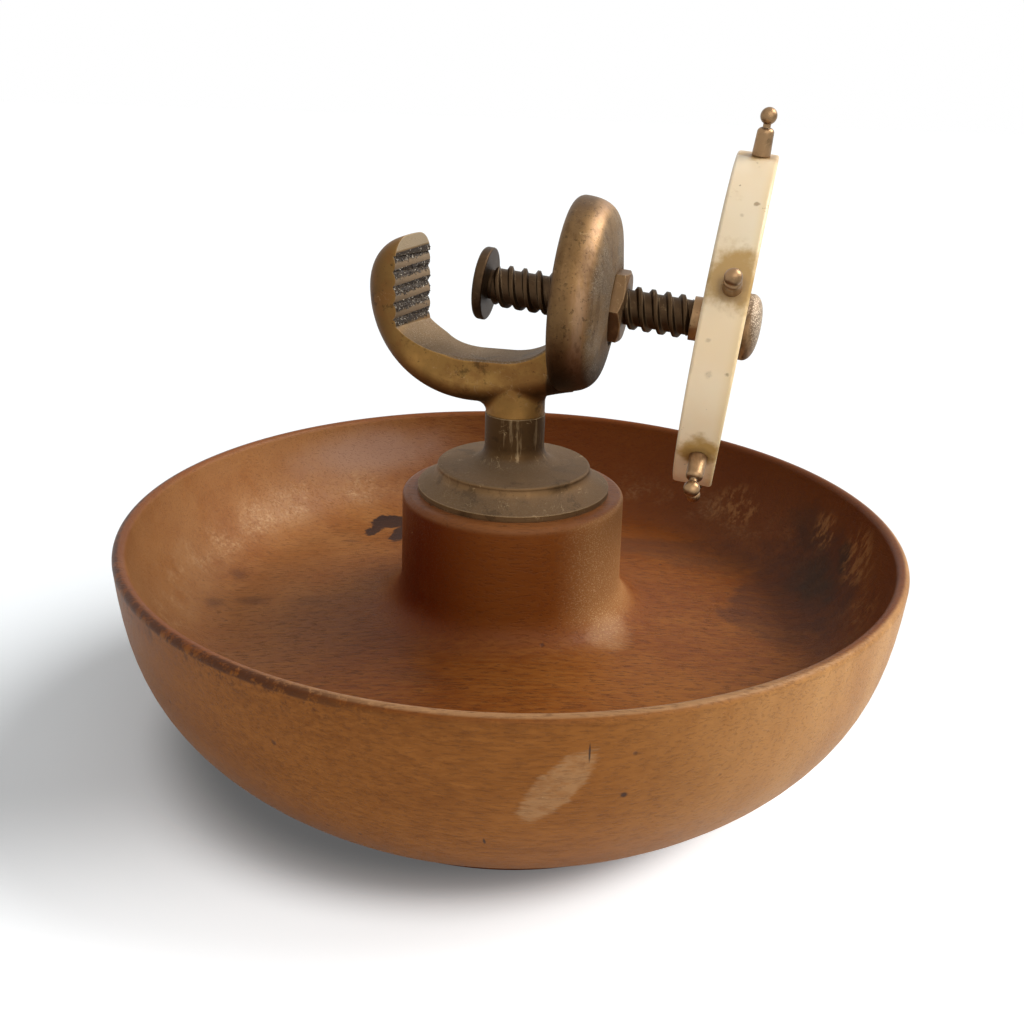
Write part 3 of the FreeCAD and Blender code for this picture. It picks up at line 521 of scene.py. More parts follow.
def wood_material(wood):
    """Oiled wood: tan outside, redder within, with its stains, nicks and rubbed places, and painted light, shade and
    sheen.
    """
    material, tree = new_material("bowl_wood")
    place = object_place(tree)
    grain = use_group("Turned wood", {"Vector": place})
    x, y, z = parts(place)
    level = level_part(x, y)
    radius = vector_of("LENGTH", level)
    normal = surface_normal(tree)
    outward = along(normal, vector_of("NORMALIZE", level))
    outside = largest(ramp(outward, 0.0, 0.6), ramp(parts(normal)["Z"], 0.0, -0.3))
    outside = times(outside, ramp(value_of("SUBTRACT", radius, z), 0.0, 0.010))
    inside = rest_of(outside)
    post = times(ramp(radius, 0.050, 0.038), ramp(z, 0.046, 0.056))
    coat = Coat(bowl_tones(wood, place, grain, {"outside": outside, "post": post, "radius": radius}))

    # painted sheen on the back wall
    coat.layer(wood.painted_sheen, spots(place, PAINTED_SHEEN_SPOTS), inside, 0.6)
    # worn, dusty ring low on the wall, strongest on the left
    coat.layer(wood.pale, ramp(radius, 0.103, 0.110), ramp(radius, 0.118, 0.112), inside,
               patches(place, 55, 0.44, 0.66, detail=6), ramp(x, -0.04, -0.09, 0.35, 1.0),
               patches(place, 620, 0.44, 0.60, 0.25, 1.0, detail=4, stretch=(1, 1, 1.6)), 0.62)
    # the large stain on the right, with darker places in it and golden streaks running down over it
    stain = times(spots(place, STAIN_SPOTS), inside)
    coat.layer(wood.stain, stain, patches(place, 240, 0.38, 0.60, 0.62, 1.0, stretch=(0.5, 1, 0.4)), 0.80)
    coat.layer(wood.mould, spots(place, MOULD_SPOTS), inside, 0.66)
    streaks = patches(place, 330, 0.48, 0.60, stretch=(1, 1, 0.2))
    coat.layer(wood.gold, streaks, spots(place, STREAK_SPOTS), inside, 0.75)
    coat.layer(wood.ink, spots(place, INK_SPOTS), rest_of(spots(place, INK_GAPS)), inside, 0.93)
    coat.layer(wood.stain, spots(place, SMUDGE_SPOTS), 0.5)
    # rubbed place outside, its edge drawn out by the fibres
    turned_place = moved(moved(place, location=-RUBBED_CENTRE), rotation=(0, -RUBBED_LEAN, 0))
    distance = vector_of("LENGTH", vector_of("DIVIDE", turned_place, RUBBED_REACH))
    distance = value_of("MULTIPLY_ADD", grain["Fibres"], 1.1, value_of("SUBTRACT", distance, 0.55))
    coat.layer(wood.pale, ramp(distance, 1.15, 0.85),
               patches(place, 420, 0.36, 0.56, 0.55, 1.0, stretch=(0.4, 1, 1)), 0.40)
    coat.layer(wood.ink, spots(place, NICK_SPOTS), 0.8)
    coat.layer(wood.foot, ramp(z, 0.0052, 0.0042), 0.95)
    # the lip: brown on the left, a thin pale line in front that is a painted highlight, a dirty line and scuffs along
    # its outer edge
    coat.layer(wood.red, ramp(z, BOWL_TOP - 0.0018, BOWL_TOP), ramp(radius, 0.100, 0.110),
               ramp(x, 0.060, -0.020, 0.15, 0.85), 0.9)
    # painted highlight along the top of the front lip
    coat.layer(wood.pale, ramp(z, BOWL_TOP - 0.0006, BOWL_TOP - 0.0001), ramp(y, -0.060, -0.100),
               ramp(x, -0.060, 0.0), 0.5)
    line = times(ramp(z, BOWL_TOP - 0.0026, BOWL_TOP - 0.0017),
                 ramp(radius, BOWL_RADIUS - 0.0022, BOWL_RADIUS - 0.0014),
                 patches(place, 280, 0.40, 0.52, detail=6, rough=0.75))
    scuffs = times(ramp(z, BOWL_TOP - 0.0090, BOWL_TOP - 0.0030),
                   ramp(radius, BOWL_RADIUS - 0.0035, BOWL_RADIUS - 0.0010),
                   patches(place, 330, 0.52, 0.60, detail=6, rough=0.75, stretch=(1, 1, 0.8)), 0.7)
    coat.layer(wood.pore, largest(line, scuffs), largest(ramp(x, 0.020, -0.030), 0.18), 0.92)
    # pores, pits, crumbs, and the fine pale flecks of the post's open end grain on its right side, partly painted
    # light there, with the dust and painted highlight at its foot
    level_facing = value_of("ABSOLUTE", outward)
    coat.layer(wood.pore, grain["Pores"], ramp(level_facing, 0.05, 0.45, 0.50, 0.22))
    coat.layer(wood.ink, grain["Pits"], 0.5)
    coat.layer(wood.pale, grain["Crumbs"], 0.75)
    # pale dust and a painted highlight on the cove at the front right of the post's foot
    dust_and_sheen = spots(place, DUST_AND_SHEEN_SPOTS)
    flecks_and_light = times(post, ramp(grain["End grain"], 0.30, 0.75), ramp(x, 0.002, 0.022), 0.9)
    flecks_and_light = value_of("ADD", flecks_and_light, times(dust_and_sheen, 0.5), clamp=True)
    coat.layer(wood.gold, flecks_and_light, 0.9)
    coat.layer(wood.dust, dust_and_sheen, 0.16)
    coat.layer(wood.fleck, grain["Specks"], flecks_and_light)

    rough = value_of("MULTIPLY_ADD", flecks_and_light, 0.12, times(stain, 0.08))
    rough = value_of("ADD", value_of("MULTIPLY_ADD", grain["Fibres"], 0.24, 0.30), rough, clamp=True)
    hollows = largest(times(grain["Pores"], 0.5), grain["Pits"])
    relief = value_of("SUBTRACT", times(grain["Fibres"], 0.5), hollows)
    relief = value_of("ADD", relief, times(grain["Specks"], flecks_and_light, 0.6))
    edge = rubbed_edge(tree, 0.0008)
    surface(tree, {"Base Color": coat.colour, "Roughness": rough, "Specular IOR Level": 0.11,
                   "Normal": bumped(relief, 0.00020, 0.6, edge["Normal"])})
    return material


def toned(colour, factor):
    """A colour made lighter or darker."""
    return tuple(min(channel * factor, 1) for channel in colour[:3]) + (1,)


def brass_material(name, brass, base, cloud_scale=60.0, pit=0.7, polish=0.40, wear=0.5, scratch=0.3,
                   reach=0.004, marks=None):
    """Aged brass: the base tone clouded lighter and darker, dirt in hollows, rubbed edges."""
    material, tree = new_material(name)
    place = object_place(tree)
    patina = use_group("Brass patina", {"Vector": place, "Cloud scale": cloud_scale, "Grime reach": reach})
    edge = rubbed_edge(tree, 0.0005)
    coat = Coat(blend(ramp(patina["Clouds"], 0.30, 0.50), toned(base, 0.55), base))
    coat.layer(toned(base, 1.4), ramp(patina["Clouds"], 0.54, 0.74))
    dull = marks(place, surface_normal(tree), coat, patina, brass) if marks else 0.0
    soil = times(patina["Grime"], 0.9)
    coat.layer(brass.bright, edge["Mask"], wear)
    coat.layer(brass.bright, patina["Scratches"], scratch)
    coat.layer(brass.grime_and_shade, patina["Pits"], pit)
    coat.layer(brass.grime_and_shade, soil)
    dead = value_of("MAXIMUM", soil, dull)
    rough = value_of("MULTIPLY_ADD", patina["Clouds"], 0.22, polish)
    rough = value_of("ADD", rough, times(dead, 0.3), clamp=True)
    metal = value_of("SUBTRACT", 1.0, times(dead, 0.8), clamp=True)
    relief = value_of("MULTIPLY_ADD", patina["Grain"], 0.2, times(patina["Clouds"], 0.5))
    relief = value_of("MULTIPLY_ADD", times(patina["Frost"], dull), 0.6, relief)
    relief = value_of("SUBTRACT", relief, times(patina["Pits"], 0.6))
    surface(tree, {"Base Color": coat.colour, "Metallic": metal, "Roughness": rough,
                   "Normal": bumped(relief, 0.00018, 0.7, edge["Normal"])})
    return material


def disc_marks(place, normal, coat, patina, brass, disc):
    """The disc's brown band, a ridge both rubbed and given a painted highlight, frosted and scorched face, darker
    towards the bottom. Returns the face's mask.
    """
    facing = along(normal, SCREW_AXIS)
    streaks = noise(moved(place, scale=(1, 1, 0.12)), 420, 4, 0.65)
    coat.layer(brass.band, disc, ramp(facing, 0.45, 0.05), 0.85)
    # ridge between the band and the face: rubbed, and a painted highlight
    coat.layer(brass.ridge, disc, ramp(facing, 0.12, 0.42), ramp(facing, 0.80, 0.50),
               ramp(streaks, 0.30, 0.62, 0.35, 1.0))
    face = times(disc, ramp(facing, 0.55, 0.85))
    coat.layer(brass.face, face, ramp(patina["Clouds"], 0.35, 0.60, 0.25, 0.85))
    coat.layer(brass.dusky, disc, ramp(streaks, 0.52, 0.66), 0.45)
    coat.layer(brass.grime_and_shade, disc, patches(place, 620, 0.585, 0.65, detail=4, rough=0.75, location=(9, 4, 2)), 0.5)
    coat.layer(brass.dusky, disc, patches(place, 55, 0.50, 0.66, location=(3, 8, 6)), 0.5)
    # darker towards the bottom of the disc
    coat.layer(brass.grime_and_shade, disc, ramp(parts(place)["Z"], 0.143, 0.129), 0.75)
    return face


def tooth_marks(place, normal, coat, brass):
    """Teeth dirty and in painted shade above each ridge, pale below, rubbed and partly painted light, and the pale
    tip over them, a painted highlight. Returns where the casting is rough.
    """
    x = parts(place)["X"]
    depth, phase = tooth_place(place)
    on_jaw = times(ramp(along(normal, TEETH_OUT), 0.35, 0.6),
                   ramp(x, TEETH_BACK - 0.0020, TEETH_BACK + 0.0002),
                   ramp(x, TEETH_FRONT, TEETH_FRONT - 0.0030))
    teeth = times(on_jaw, ramp(depth, -0.0003, 0.0003), ramp(depth, 0.0235, 0.0205))
    wander = value_of("MULTIPLY_ADD", noise(place, 900, 4, 0.7), 0.5, -0.25)
    # dirt and painted shade on the upper part of each tooth, under the ridge above
    dirt_and_shade = times(teeth, ramp(value_of("ADD", phase, wander), 0.70, 0.50))
    # pale teeth; on the lower flank of each tooth this pale is partly painted light
    coat.layer(brass.frost, teeth, 0.8)
    coat.layer(brass.grime_and_shade, dirt_and_shade, 0.92)
    coat.layer(brass.crumb, dirt_and_shade, patches(place, 1300, 0.63, 0.69, detail=2, rough=0.6))
    # painted highlight on the flat above the teeth
    tip = times(on_jaw, ramp(depth, 0.0, -0.0006))
    coat.layer(brass.tip, tip, 0.8)
    return largest(teeth, tip)


def frame_marks(place, normal, coat, patina, brass):
    """Marks of the arm, the disc and the teeth, with painted shade on the arm's back and underside. Returns how dull
    the brass is.
    """
    x, _, z = parts(place)
    up = parts(normal)["Z"]
    disc = ramp(along(place, SCREW_AXIS, AXIS_POINT), 0.0135, 0.0145)
    # arm: painted shade towards the back of the jaw and on what faces down, golden scratched place low down, russet
    # clouds, mottles
    coat.layer(brass.dusky, ramp(x, -0.030, -0.046), 0.9)
    coat.layer(brass.dusky, ramp(up, -0.10, -0.80), 0.85)
    coat.layer(brass.gilt, ragged_spot(place, (-12, -9.5, 124.5), (16, 6, 5.5), 0.9, 200, 0.7), 0.75)
    coat.layer(brass.russet, patches(place, 62, 0.50, 0.64, detail=6, location=(6, 2, 8)), 0.5)
    coat.layer(brass.grime_and_shade, patina["Mottles"], 0.55)
    face = disc_marks(place, normal, coat, patina, brass, disc)
    # rough cast top of the lower arm
    cast = times(ramp(up, 0.25, 0.6), rest_of(disc), ramp(x, -0.037, -0.033), ramp(z, 0.162, 0.158))
    coat.layer(brass.cast, cast, 0.5)
    jaw = tooth_marks(place, normal, coat, brass)
    rough = largest(face, cast)
    coat.layer(brass.speck, rough, patina["Frost"], ramp(patina["Clouds"], 0.40, 0.62, 0.08, 0.38))
    return times(largest(rough, jaw), 0.6)


def pedestal_marks(place, normal, coat, patina, brass):
    """Dust and fine specks on what faces up, a dark neck with upright streaks of painted highlight. Returns how dull
    the brass is.
    """
    x, y, _ = parts(place)
    neck = ramp(vector_of("LENGTH", level_part(x, y)), 0.0150, 0.0105)
    flat = ramp(parts(normal)["Z"], 0.35, 0.8)
    coat.layer(brass.neck, neck, 0.8)
    streaks = patches(place, 520, 0.56, 0.68, detail=4, rough=0.65, stretch=(1, 1, 0.10))
    # upright painted highlight streaks on the neck
    coat.layer(brass.bright, neck, streaks, 0.38)
    coat.layer(brass.dust, flat, 0.45)
    coat.layer(brass.frost, flat, patina["Frost"], 0.25)
    coat.layer(brass.grime_and_shade, patina["Mottles"], 0.35)
    return times(flat, 0.6)


def cap_marks(_, normal, coat, patina, brass):
    """Frosted crown of the cap, paler as painted light where it faces the key lamp. Returns how dull the brass is."""
    facing = along(normal, (0.75, 0, 0.66))
    # paler where the crown faces the key lamp: frost and painted light
    frosted = times(ramp(facing, 0.25, 0.75), ramp(patina["Frost"], 0.1, 0.9, 0.22, 1.0))
    coat.layer(brass.cap_dark, ramp(patina["Frost"], 0.5, 0.1), ramp(facing, 0.1, 0.5))
    coat.layer(brass.cap_pale, frosted)
    return times(frosted, 0.7)


# The rim's middle along the screw's axis, its radius, and the radius of the stains round its pins, in millimetres.
RIM_ALONG = 63.6
RIM_RADIUS = 48.5
PIN_STAIN_RADIUS = 48.2
# Single spots on the rim: degrees round it from its top, millimetres across it, size in millimetres, strength.
RIM_SPOTS = ((39.6, 2.0, 1.1, 0.65), (45, -1.1, 0.8, 0.3), (66, 1.0, 0.9, 0.5), (70.3, 0.1, 0.4, 0.9),
             (85, -3.0, 0.9, 0.3), (94.4, 3.3, 0.8, 0.7), (95.4, -1.2, 1.4, 0.22), (20, 0.5, 0.5, 0.5),
             (215, 1.5, 1.2, 0.6), (300, -1.5, 1.0, 0.6))


def rim_material(rim):
    """Yellowed cream plastic with brown stains round its pins."""
    material, tree = new_material("rim_cream")
    place = object_place(tree)
    clouds = noise(place, 26, 4, 0.55)
    coat = Coat(blend(ramp(clouds, 0.35, 0.68), rim.cream, rim.pale))
    coat.layer(rim.upper, ramp(parts(place)["Z"], 0.150, 0.185, 0.0, 0.6))
    coat.layer(rim.yellowed, ramp(along(place, SCREW_AXIS, AXIS_POINT), 0.0655, 0.0687), 0.5)
    halos, rings = [], []
    for number, name in enumerate(SPOKES):
        low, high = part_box(name)
        radial = (low + high) / 2 - AXIS_POINT
        radial = (radial - SCREW_AXIS * radial.dot(SCREW_AXIS)).normalized()
        middle = AXIS_POINT * 1000 + SCREW_AXIS * RIM_ALONG + radial * PIN_STAIN_RADIUS
        size = 1.0 if number % 2 else 0.75
        halo_middle = middle - SCREW_AXIS.cross(radial) * 2.5 * size
        halos.append(ragged_spot(place, halo_middle, Vector((10.5, 10.5, 10.5)) * size, 1.3, 170, 0.55))
        rings.append(ragged_spot(place, middle, (5.2, 5.2, 5.2), 0.7, 300, 0.5))
    coat.layer(rim.ochre, largest(*halos), 0.95)
    coat.layer(rim.stain, largest(*rings), 0.55)
    upright = (Vector((0, 0, 1)) - SCREW_AXIS * SCREW_AXIS.z).normalized()
    for turn, across, size, strength in RIM_SPOTS:
        direction = upright * math.cos(math.radians(turn)) - Vector((0, 1, 0)) * math.sin(math.radians(turn))
        centre = AXIS_POINT * 1000 + SCREW_AXIS * (RIM_ALONG + across) + direction * RIM_RADIUS
        coat.layer(rim.stain, ragged_spot(place, centre, (size, size, size), 1.1, 900, 0.6), strength)
    coat.layer(rim.ochre, patches(place, 75, 0.60, 0.72, location=(1, 2, 3)), 0.35)
    coat.layer(rim.stain, patches(place, 330, 0.69, 0.73, detail=3, rough=0.6), 0.6)
    edge = rubbed_edge(tree, 0.0006)
    surface(tree, {"Base Color": coat.colour, "Roughness": ramp(clouds, 0.3, 0.7, 0.30, 0.46, False),
                   "Specular IOR Level": 0.5, "Subsurface Weight": 0.12, "Subsurface Radius": (0.006, 0.004, 0.002),
                   "Normal": bumped(noise(place, 220, 4, 0.6), 0.0001, 0.5, edge["Normal"])})
    return material


def rod_material(brass):
    """Dull steel."""
    material, tree = new_material("rod_steel")
    clouds = noise(object_place(tree), 180, 5, 0.6)
    colour = blend(ramp(clouds, 0.35, 0.7), brass.steel_dark, brass.steel_pale)
    surface(tree, {"Base Color": colour, "Metallic": 1.0, "Roughness": ramp(clouds, 0.3, 0.7, 0.35, 0.6),
                   "Normal": bumped(clouds, 0.0001, 0.5)})
    return material


def grit_material(brass):
    """Dark grains with a few that sparkle."""
    material, tree = new_material("jaw_grit")
    shade = noise(object_place(tree), 1100, 3, 0.6)
    coat = Coat(blend(ramp(shade, 0.36, 0.50), brass.grit_dark, brass.grit_brown))
    coat.layer(brass.grit_pale, ramp(shade, 0.60, 0.64))
    surface(tree, {"Base Color": coat.colour, "Roughness": ramp(shade, 0.3, 0.7, 0.65, 0.25, False)})
    return material


# ---------------------------------------------------------------- shapes

def random_vector(low, high, seed):
    """A vector for each point, every part of it drawn between low and high. 8 is the socket of the seed."""
    sockets = {0: (low,) * 3, 1: (high,) * 3, 8: seed}
    return beside("FunctionNodeRandomValue", sockets, data_type="FLOAT_VECTOR").outputs[0]


def build_grit_tree():
    """Small grains scattered over the upper part of each tooth."""
    tree, given, gives = new_group(
        "Jaw grit",
        [("Geometry", "Geometry", None), ("Density", "Float", 1.0), ("Grain size", "Float", 0.0002),
         ("Cover", "Float", 0.6), ("Seed", "Int", 7), ("Material", "Material", None)],
        [("Geometry", "Geometry")], kind="GeometryNodeTree")
    points = put(tree, "GeometryNodeDistributePointsOnFaces", {
        "Mesh": given["Geometry"], "Density": given["Density"], "Seed": given["Seed"]}).outputs["Points"]
    place = put(tree, "GeometryNodeInputPosition").outputs[0]
    _, phase = tooth_place(place)
    wander = value_of("SUBTRACT", phase, 0.65)
    phase = value_of("MULTIPLY_ADD", noise(place, 420, 4, 0.7), 1.3, wander)
    bare = value_of("GREATER_THAN", phase, given["Cover"])
    points = beside("GeometryNodeDeleteGeometry", {"Geometry": points, "Selection": bare}, domain="POINT").outputs[0]
    grain = put(tree, "GeometryNodeMeshIcoSphere", {"Radius": given["Grain size"], "Subdivisions": 1}).outputs["Mesh"]
    turns = random_vector(0, 6.28, given["Seed"])
    sizes = random_vector(0.4, 1.4, given["Seed"])
    grains = put(tree, "GeometryNodeInstanceOnPoints", {
        "Points": points, "Instance": grain, "Rotation": turns, "Scale": sizes}).outputs["Instances"]
    grains = put(tree, "GeometryNodeRealizeInstances", {"Geometry": grains}).outputs[0]
    grains = put(tree, "GeometryNodeSetMaterial", {"Geometry": grains, "Material": given["Material"]}).outputs[0]
    join(grains, gives["Geometry"])
    return tree


def teeth_faces():
    """A mesh of the jaw's toothed faces."""
    jaw = frame["nodes"]["jaw_frame"].data
    corners, faces = [], []
    for face in jaw.polygons:
        depth = (face.center - TEETH_TOP).dot(TEETH_DOWN)
        outward = face.normal.dot(TEETH_OUT) > 0.35
        if 0 < depth < TEETH_LENGTH and outward and TEETH_BACK < face.center.x < TEETH_FRONT:
            faces.append([len(corners) + step for step in range(len(face.vertices))])
            corners.extend(jaw.vertices[index].co for index in face.vertices)
    mesh = bpy.data.meshes.new("teeth_faces")
    mesh.from_pydata(corners, [], faces)
    return mesh


def grown(context, seed_piece, tree, settings, name):
    """A plain mesh object grown by a node tree from a mesh object, which is removed."""
    context.scene.collection.objects.link(seed_piece)
    growth = seed_piece.modifiers.new(name, "NODES")
    growth.node_group = tree
    for item in tree.interface.items_tree:
        if item.item_type == "SOCKET" and item.in_out == "INPUT" and item.name in settings:
            growth[item.identifier] = settings[item.name]
    context.view_layer.update()
    mesh = bpy.data.meshes.new_from_object(seed_piece.evaluated_get(context.evaluated_depsgraph_get()))
    bpy.data.objects.remove(seed_piece)
    if not mesh.polygons:
        raise RuntimeError(name + " came out empty")
    mesh.name = name
    piece = bpy.data.objects.new(name, mesh)
    context.scene.collection.objects.link(piece)
    return piece


def turned(context, node, name, steps):
    """A node that is round about the upright axis, turned afresh from the closed line it has over +X."""
    shape = bmesh.new()
    shape.from_mesh(frame["nodes"][node].data)
    bmesh.ops.remove_doubles(shape, verts=shape.verts, dist=TOUCHING)
    rest = [vert for vert in shape.verts if abs(vert.co.y) > TOUCHING or vert.co.x < 0]
    bmesh.ops.delete(shape, geom=rest, context="VERTS")
    if not shape.verts or any(len(vert.link_edges) != 2 for vert in shape.verts):
        raise RuntimeError(node + " has no closed line over +X")
    bmesh.ops.spin(shape, geom=shape.verts[:] + shape.edges[:], cent=(0, 0, 0), axis=(0, 0, 1),
                   angle=math.tau, steps=steps, use_merge=True)
    bmesh.ops.remove_doubles(shape, verts=shape.verts, dist=TOUCHING)
    bmesh.ops.recalc_face_normals(shape, faces=shape.faces)
    mesh = bpy.data.meshes.new(name)
    shape.to_mesh(mesh)
    shape.free()
    mesh.polygons.foreach_set("use_smooth", [True] * len(mesh.polygons))
    mesh.set_sharp_from_angle(angle=SHARP_FROM)
    piece = bpy.data.objects.new(name, mesh)
    context.scene.collection.objects.link(piece)
    return piece


def dress(material, *names):
    """Gives CAD nodes their material."""
    for name in names:
        slots = frame["nodes"][name].data.materials
        slots.clear()
        slots.append(material)


# ---------------------------------------------------------------- stage

def add_floor(scene, stage):
    """A white floor, with a painted shadow close under the bowl and painted light in front of it."""
    half = stage.floor_width / 2
    mesh = bpy.data.meshes.new("floor")
    mesh.from_pydata([(-half, -half, 0), (half, -half, 0), (half, half, 0), (-half, half, 0)], [], [(0, 1, 2, 3)])
    floor = bpy.data.objects.new("floor", mesh)
    scene.collection.objects.link(floor)
    floor.location.z = -0.0002
    material, tree = new_material("floor_white")
    seen = put(tree, "ShaderNodeLightPath").outputs["Is Camera Ray"]
    place = object_place(tree)
    x, y, _ = parts(place)
    # the painted shadow's reach, shifted towards the side away from the key lamp
    reach = value_of("MULTIPLY_ADD", x, 0.25, vector_of("LENGTH", place))
    contact = ramp(reach, stage.contact_reach, stage.contact_reach - stage.contact_depth, 0.0, 0.92)
    colour = blend(times(seen, contact), stage.floor, (0, 0, 0, 1))
    shade = put(tree, "ShaderNodeBsdfDiffuse", {"Color": colour}).outputs[0]
    front = ramp(value_of("SUBTRACT", times(x, 0.5), y), 0.01, 0.11)
    # painted light lifting the floor in front of the bowl
    lifted = times(front, ramp(reach, stage.contact_reach - 0.012, stage.contact_reach + 0.008))
    strength = times(seen, value_of("MULTIPLY_ADD", lifted, 0.5, 0.10))
    glow = put(tree, "ShaderNodeEmission", {"Color": (1, 1, 1, 1), "Strength": strength}).outputs[0]
    both = put(tree, "ShaderNodeAddShader", {0: shade, 1: glow}).outputs[0]
    put(tree, "ShaderNodeOutputMaterial", {"Surface": both})
    mesh.materials.append(material)


def set_world(scene, stage):
    """Even light from a white surrounding that is seen and mirrored as plain white."""
    world = bpy.data.worlds.new("studio")
    scene.world = world
    world.use_nodes = True
    sky = world.node_tree
    sky.nodes.clear()
    path = put(sky, "ShaderNodeLightPath").outputs
    shown = largest(path["Is Camera Ray"], path["Is Glossy Ray"], path["Is Transmission Ray"])
    strength = ramp(shown, 0.0, 1.0, stage.ambient, 1.0, False)
    back = put(sky, "ShaderNodeBackground", {"Color": (1, 1, 1, 1), "Strength": strength})
    put(sky, "ShaderNodeOutputWorld", {"Surface": back.outputs[0]})


def add_lamp(scene, name, strength, width, turn, rise):
    """A far lamp at a compass angle and a height above the floor."""
    lamp = bpy.data.lights.new(name, "SUN")
    lamp.energy, lamp.angle = strength, width
    held = bpy.data.objects.new(name, lamp)
    scene.collection.objects.link(held)
    towards = Vector((math.cos(turn) * math.cos(rise), math.sin(turn) * math.cos(rise), math.sin(rise)))
    held.rotation_euler = towards.to_track_quat("Z", "Y").to_euler()


def add_camera(scene, stage):
    """The camera, in front of the upright axis, turned, dipped and rolled."""
    turn, dip, roll = stage.camera_turn, stage.camera_dip, stage.camera_roll
    across = Vector((math.cos(turn), math.sin(turn), 0))
    ahead = Vector((-math.sin(turn), math.cos(turn), 0))
    above = Vector((0, 0, 1))
    look = ahead * math.cos(dip) - above * math.sin(dip)
    rise = ahead * math.sin(dip) + above * math.cos(dip)
    right = across * math.cos(roll) + rise * math.sin(roll)
    up = rise * math.cos(roll) - across * math.sin(roll)
    camera = bpy.data.objects.new("camera", bpy.data.cameras.new("camera"))
    scene.collection.objects.link(camera)
    place = Matrix((right, up, -look)).transposed().to_4x4()
    place.translation = above * stage.camera_height - ahead * stage.camera_back - across * stage.camera_side
    camera.matrix_world = place
    camera.data.sensor_width, camera.data.lens = 36, stage.camera_lens
    camera.data.clip_start, camera.data.clip_end = 0.01, 100
    scene.camera = camera


# ---------------------------------------------------------------- operators

class FinishBowl(bpy.types.Operator):
    """Wood of the bowl and its post"""
    bl_idname = "nut_cracker.finish_bowl"
    bl_label = "Finish the bowl"

    def execute(self, context):
        wood = context.scene.nut_cracker_wood
        piece = turned(context, "bowl", "turned_bowl", wood.turn_steps)
        piece.data.materials.append(wood_material(wood))
        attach(piece, "stand")
        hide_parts("bowl")
        return {"FINISHED"}


class FinishFrame(bpy.types.Operator):
    """Cast brass of the jaw frame"""
    bl_idname = "nut_cracker.finish_frame"
    bl_label = "Finish the jaw frame"

    def execute(self, context):
        brass = context.scene.nut_cracker_brass
        dress(brass_material("frame_brass", brass, brass.arm, 48, pit=0.6, polish=0.40, wear=0.3, marks=frame_marks),
              "jaw_frame")
        return {"FINISHED"}


class AddGrit(bpy.types.Operator):
    """Nut grit packed between the teeth"""
    bl_idname = "nut_cracker.add_grit"
    bl_label = "Add grit to the teeth"

    def execute(self, context):
        brass = context.scene.nut_cracker_brass
        settings = {"Density": brass.grit_density, "Grain size": brass.grit_size, "Material": grit_material(brass)}
        teeth = bpy.data.objects.new("teeth_faces", teeth_faces())
        piece = grown(context, teeth, build_grit_tree(), settings, "jaw_grit")
        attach(piece, "stand")
        return {"FINISHED"}


class FinishPedestal(bpy.types.Operator):
    """Dull brass of the pedestal"""
    bl_idname = "nut_cracker.finish_pedestal"
    bl_label = "Finish the pedestal"

    def execute(self, context):
        brass = context.scene.nut_cracker_brass
        dress(brass_material("pedestal_brass", brass, brass.plate, 75, pit=0.4, polish=0.46, wear=0.55,
                             scratch=0.6, marks=pedestal_marks), "pedestal")
        return {"FINISHED"}


class FinishScrew(bpy.types.Operator):
    """Dark brass of the screw, its bush and the presser foot"""
    bl_idname = "nut_cracker.finish_screw"
    bl_label = "Finish the screw"

    def execute(self, context):
        brass = context.scene.nut_cracker_brass
        dress(brass_material("screw_brass", brass, brass.screw, 120, pit=0.4, wear=0.22, reach=0.0025),
              "spindle", "presser_foot", "presser_screw")
        dress(brass_material("bush_brass", brass, brass.bush, 150, pit=0.5, wear=0.4, scratch=0.7), "threaded_bush")
        return {"FINISHED"}


class FinishPins(bpy.types.Operator):
    """Turned brass of the spokes, hub and cap"""
    bl_idname = "nut_cracker.finish_pins"
    bl_label = "Finish the pins"

    def execute(self, context):
        brass = context.scene.nut_cracker_brass
        dress(brass_material("pin_brass", brass, brass.pins, 160, pit=0.6, polish=0.27, wear=0.5, reach=0.0035),
              "wheel_hub", *SPOKES)
        dress(brass_material("cap_brass", brass, brass.pins, 160, pit=0.3, wear=0.4, marks=cap_marks), "dome_nut")
        return {"FINISHED"}


class FinishRim(bpy.types.Operator):
    """Cream plastic of the wheel's rim"""
    bl_idname = "nut_cracker.finish_rim"
    bl_label = "Finish the rim"

    def execute(self, context):
        dress(rim_material(context.scene.nut_cracker_rim), "wheel_rim")
        return {"FINISHED"}


class FinishRod(bpy.types.Operator):
    """Dull steel of the tie rod, its washer and nut"""
    bl_idname = "nut_cracker.finish_rod"
    bl_label = "Finish the tie rod"

    def execute(self, context):
        dress(rod_material(context.scene.nut_cracker_brass), "tie_rod", "tie_rod_washer", "tie_rod_nut")
        return {"FINISHED"}


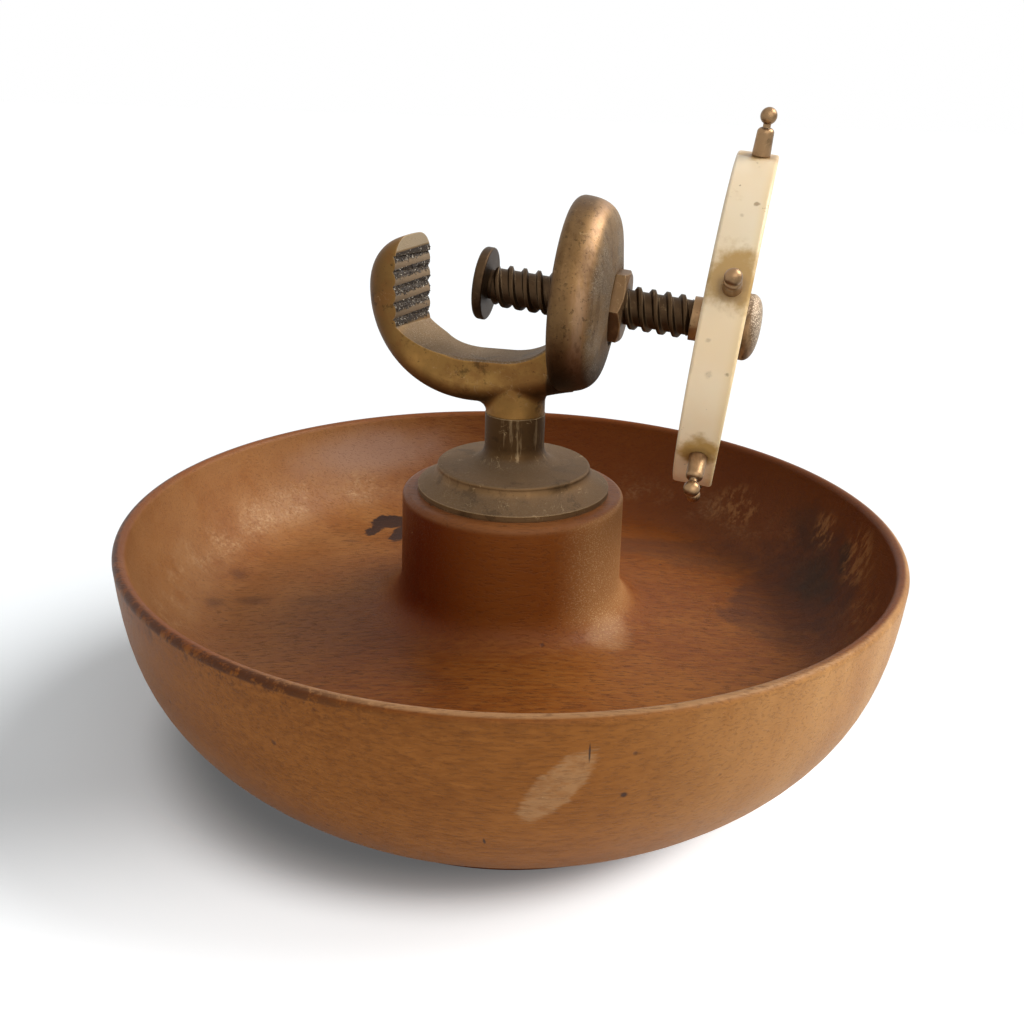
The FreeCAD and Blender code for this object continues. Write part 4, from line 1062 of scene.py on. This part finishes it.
class SetStage(bpy.types.Operator):
    """Floor, soft light and camera"""
    bl_idname = "nut_cracker.set_stage"
    bl_label = "Set the stage"

    def execute(self, context):
        scene = context.scene
        stage = scene.nut_cracker_stage
        add_floor(scene, stage)
        set_world(scene, stage)
        add_lamp(scene, "key", stage.key, stage.key_width, stage.key_turn, stage.key_rise)
        add_lamp(scene, "fill", stage.fill, stage.fill_width, stage.fill_turn, stage.fill_rise)
        add_camera(scene, stage)
        scene.view_settings.view_transform = "Standard"
        return {"FINISHED"}


STEPS = [FinishBowl, FinishFrame, AddGrit, FinishPedestal, FinishScrew, FinishPins, FinishRim, FinishRod, SetStage]
SETTINGS = [("nut_cracker_wood", NutCrackerWood), ("nut_cracker_brass", NutCrackerBrass),
            ("nut_cracker_rim", NutCrackerRim), ("nut_cracker_stage", NutCrackerStage)]


class NutCrackerPanel(bpy.types.Panel):
    """Lists the settings and steps"""
    bl_label = "Nut Cracker"
    bl_idname = "VIEW3D_PT_nut_cracker"
    bl_space_type = "VIEW_3D"
    bl_region_type = "UI"
    bl_category = "Nut Cracker"

    def draw(self, context):
        for name, group in SETTINGS:
            box = self.layout.box()
            for prop in group.__annotations__:
                box.prop(getattr(context.scene, name), prop)
        for step in STEPS:
            self.layout.operator(step.bl_idname)


def register():
    for _, group in SETTINGS:
        bpy.utils.register_class(group)
    for step in STEPS:
        bpy.utils.register_class(step)
    bpy.utils.register_class(NutCrackerPanel)
    for name, group in SETTINGS:
        setattr(bpy.types.Scene, name, bpy.props.PointerProperty(type=group))


def unregister():
    for name, _ in SETTINGS:
        delattr(bpy.types.Scene, name)
    bpy.utils.unregister_class(NutCrackerPanel)
    for step in reversed(STEPS):
        bpy.utils.unregister_class(step)
    for _, group in reversed(SETTINGS):
        bpy.utils.unregister_class(group)


def main():
    register()
    for build in (build_spot_group, build_wood_group, build_patina_group, build_wear_group):
        build()
    for step in STEPS:
        family, action = step.bl_idname.split(".")
        getattr(getattr(bpy.ops, family), action)()


if __name__ == "__main__":
    main()
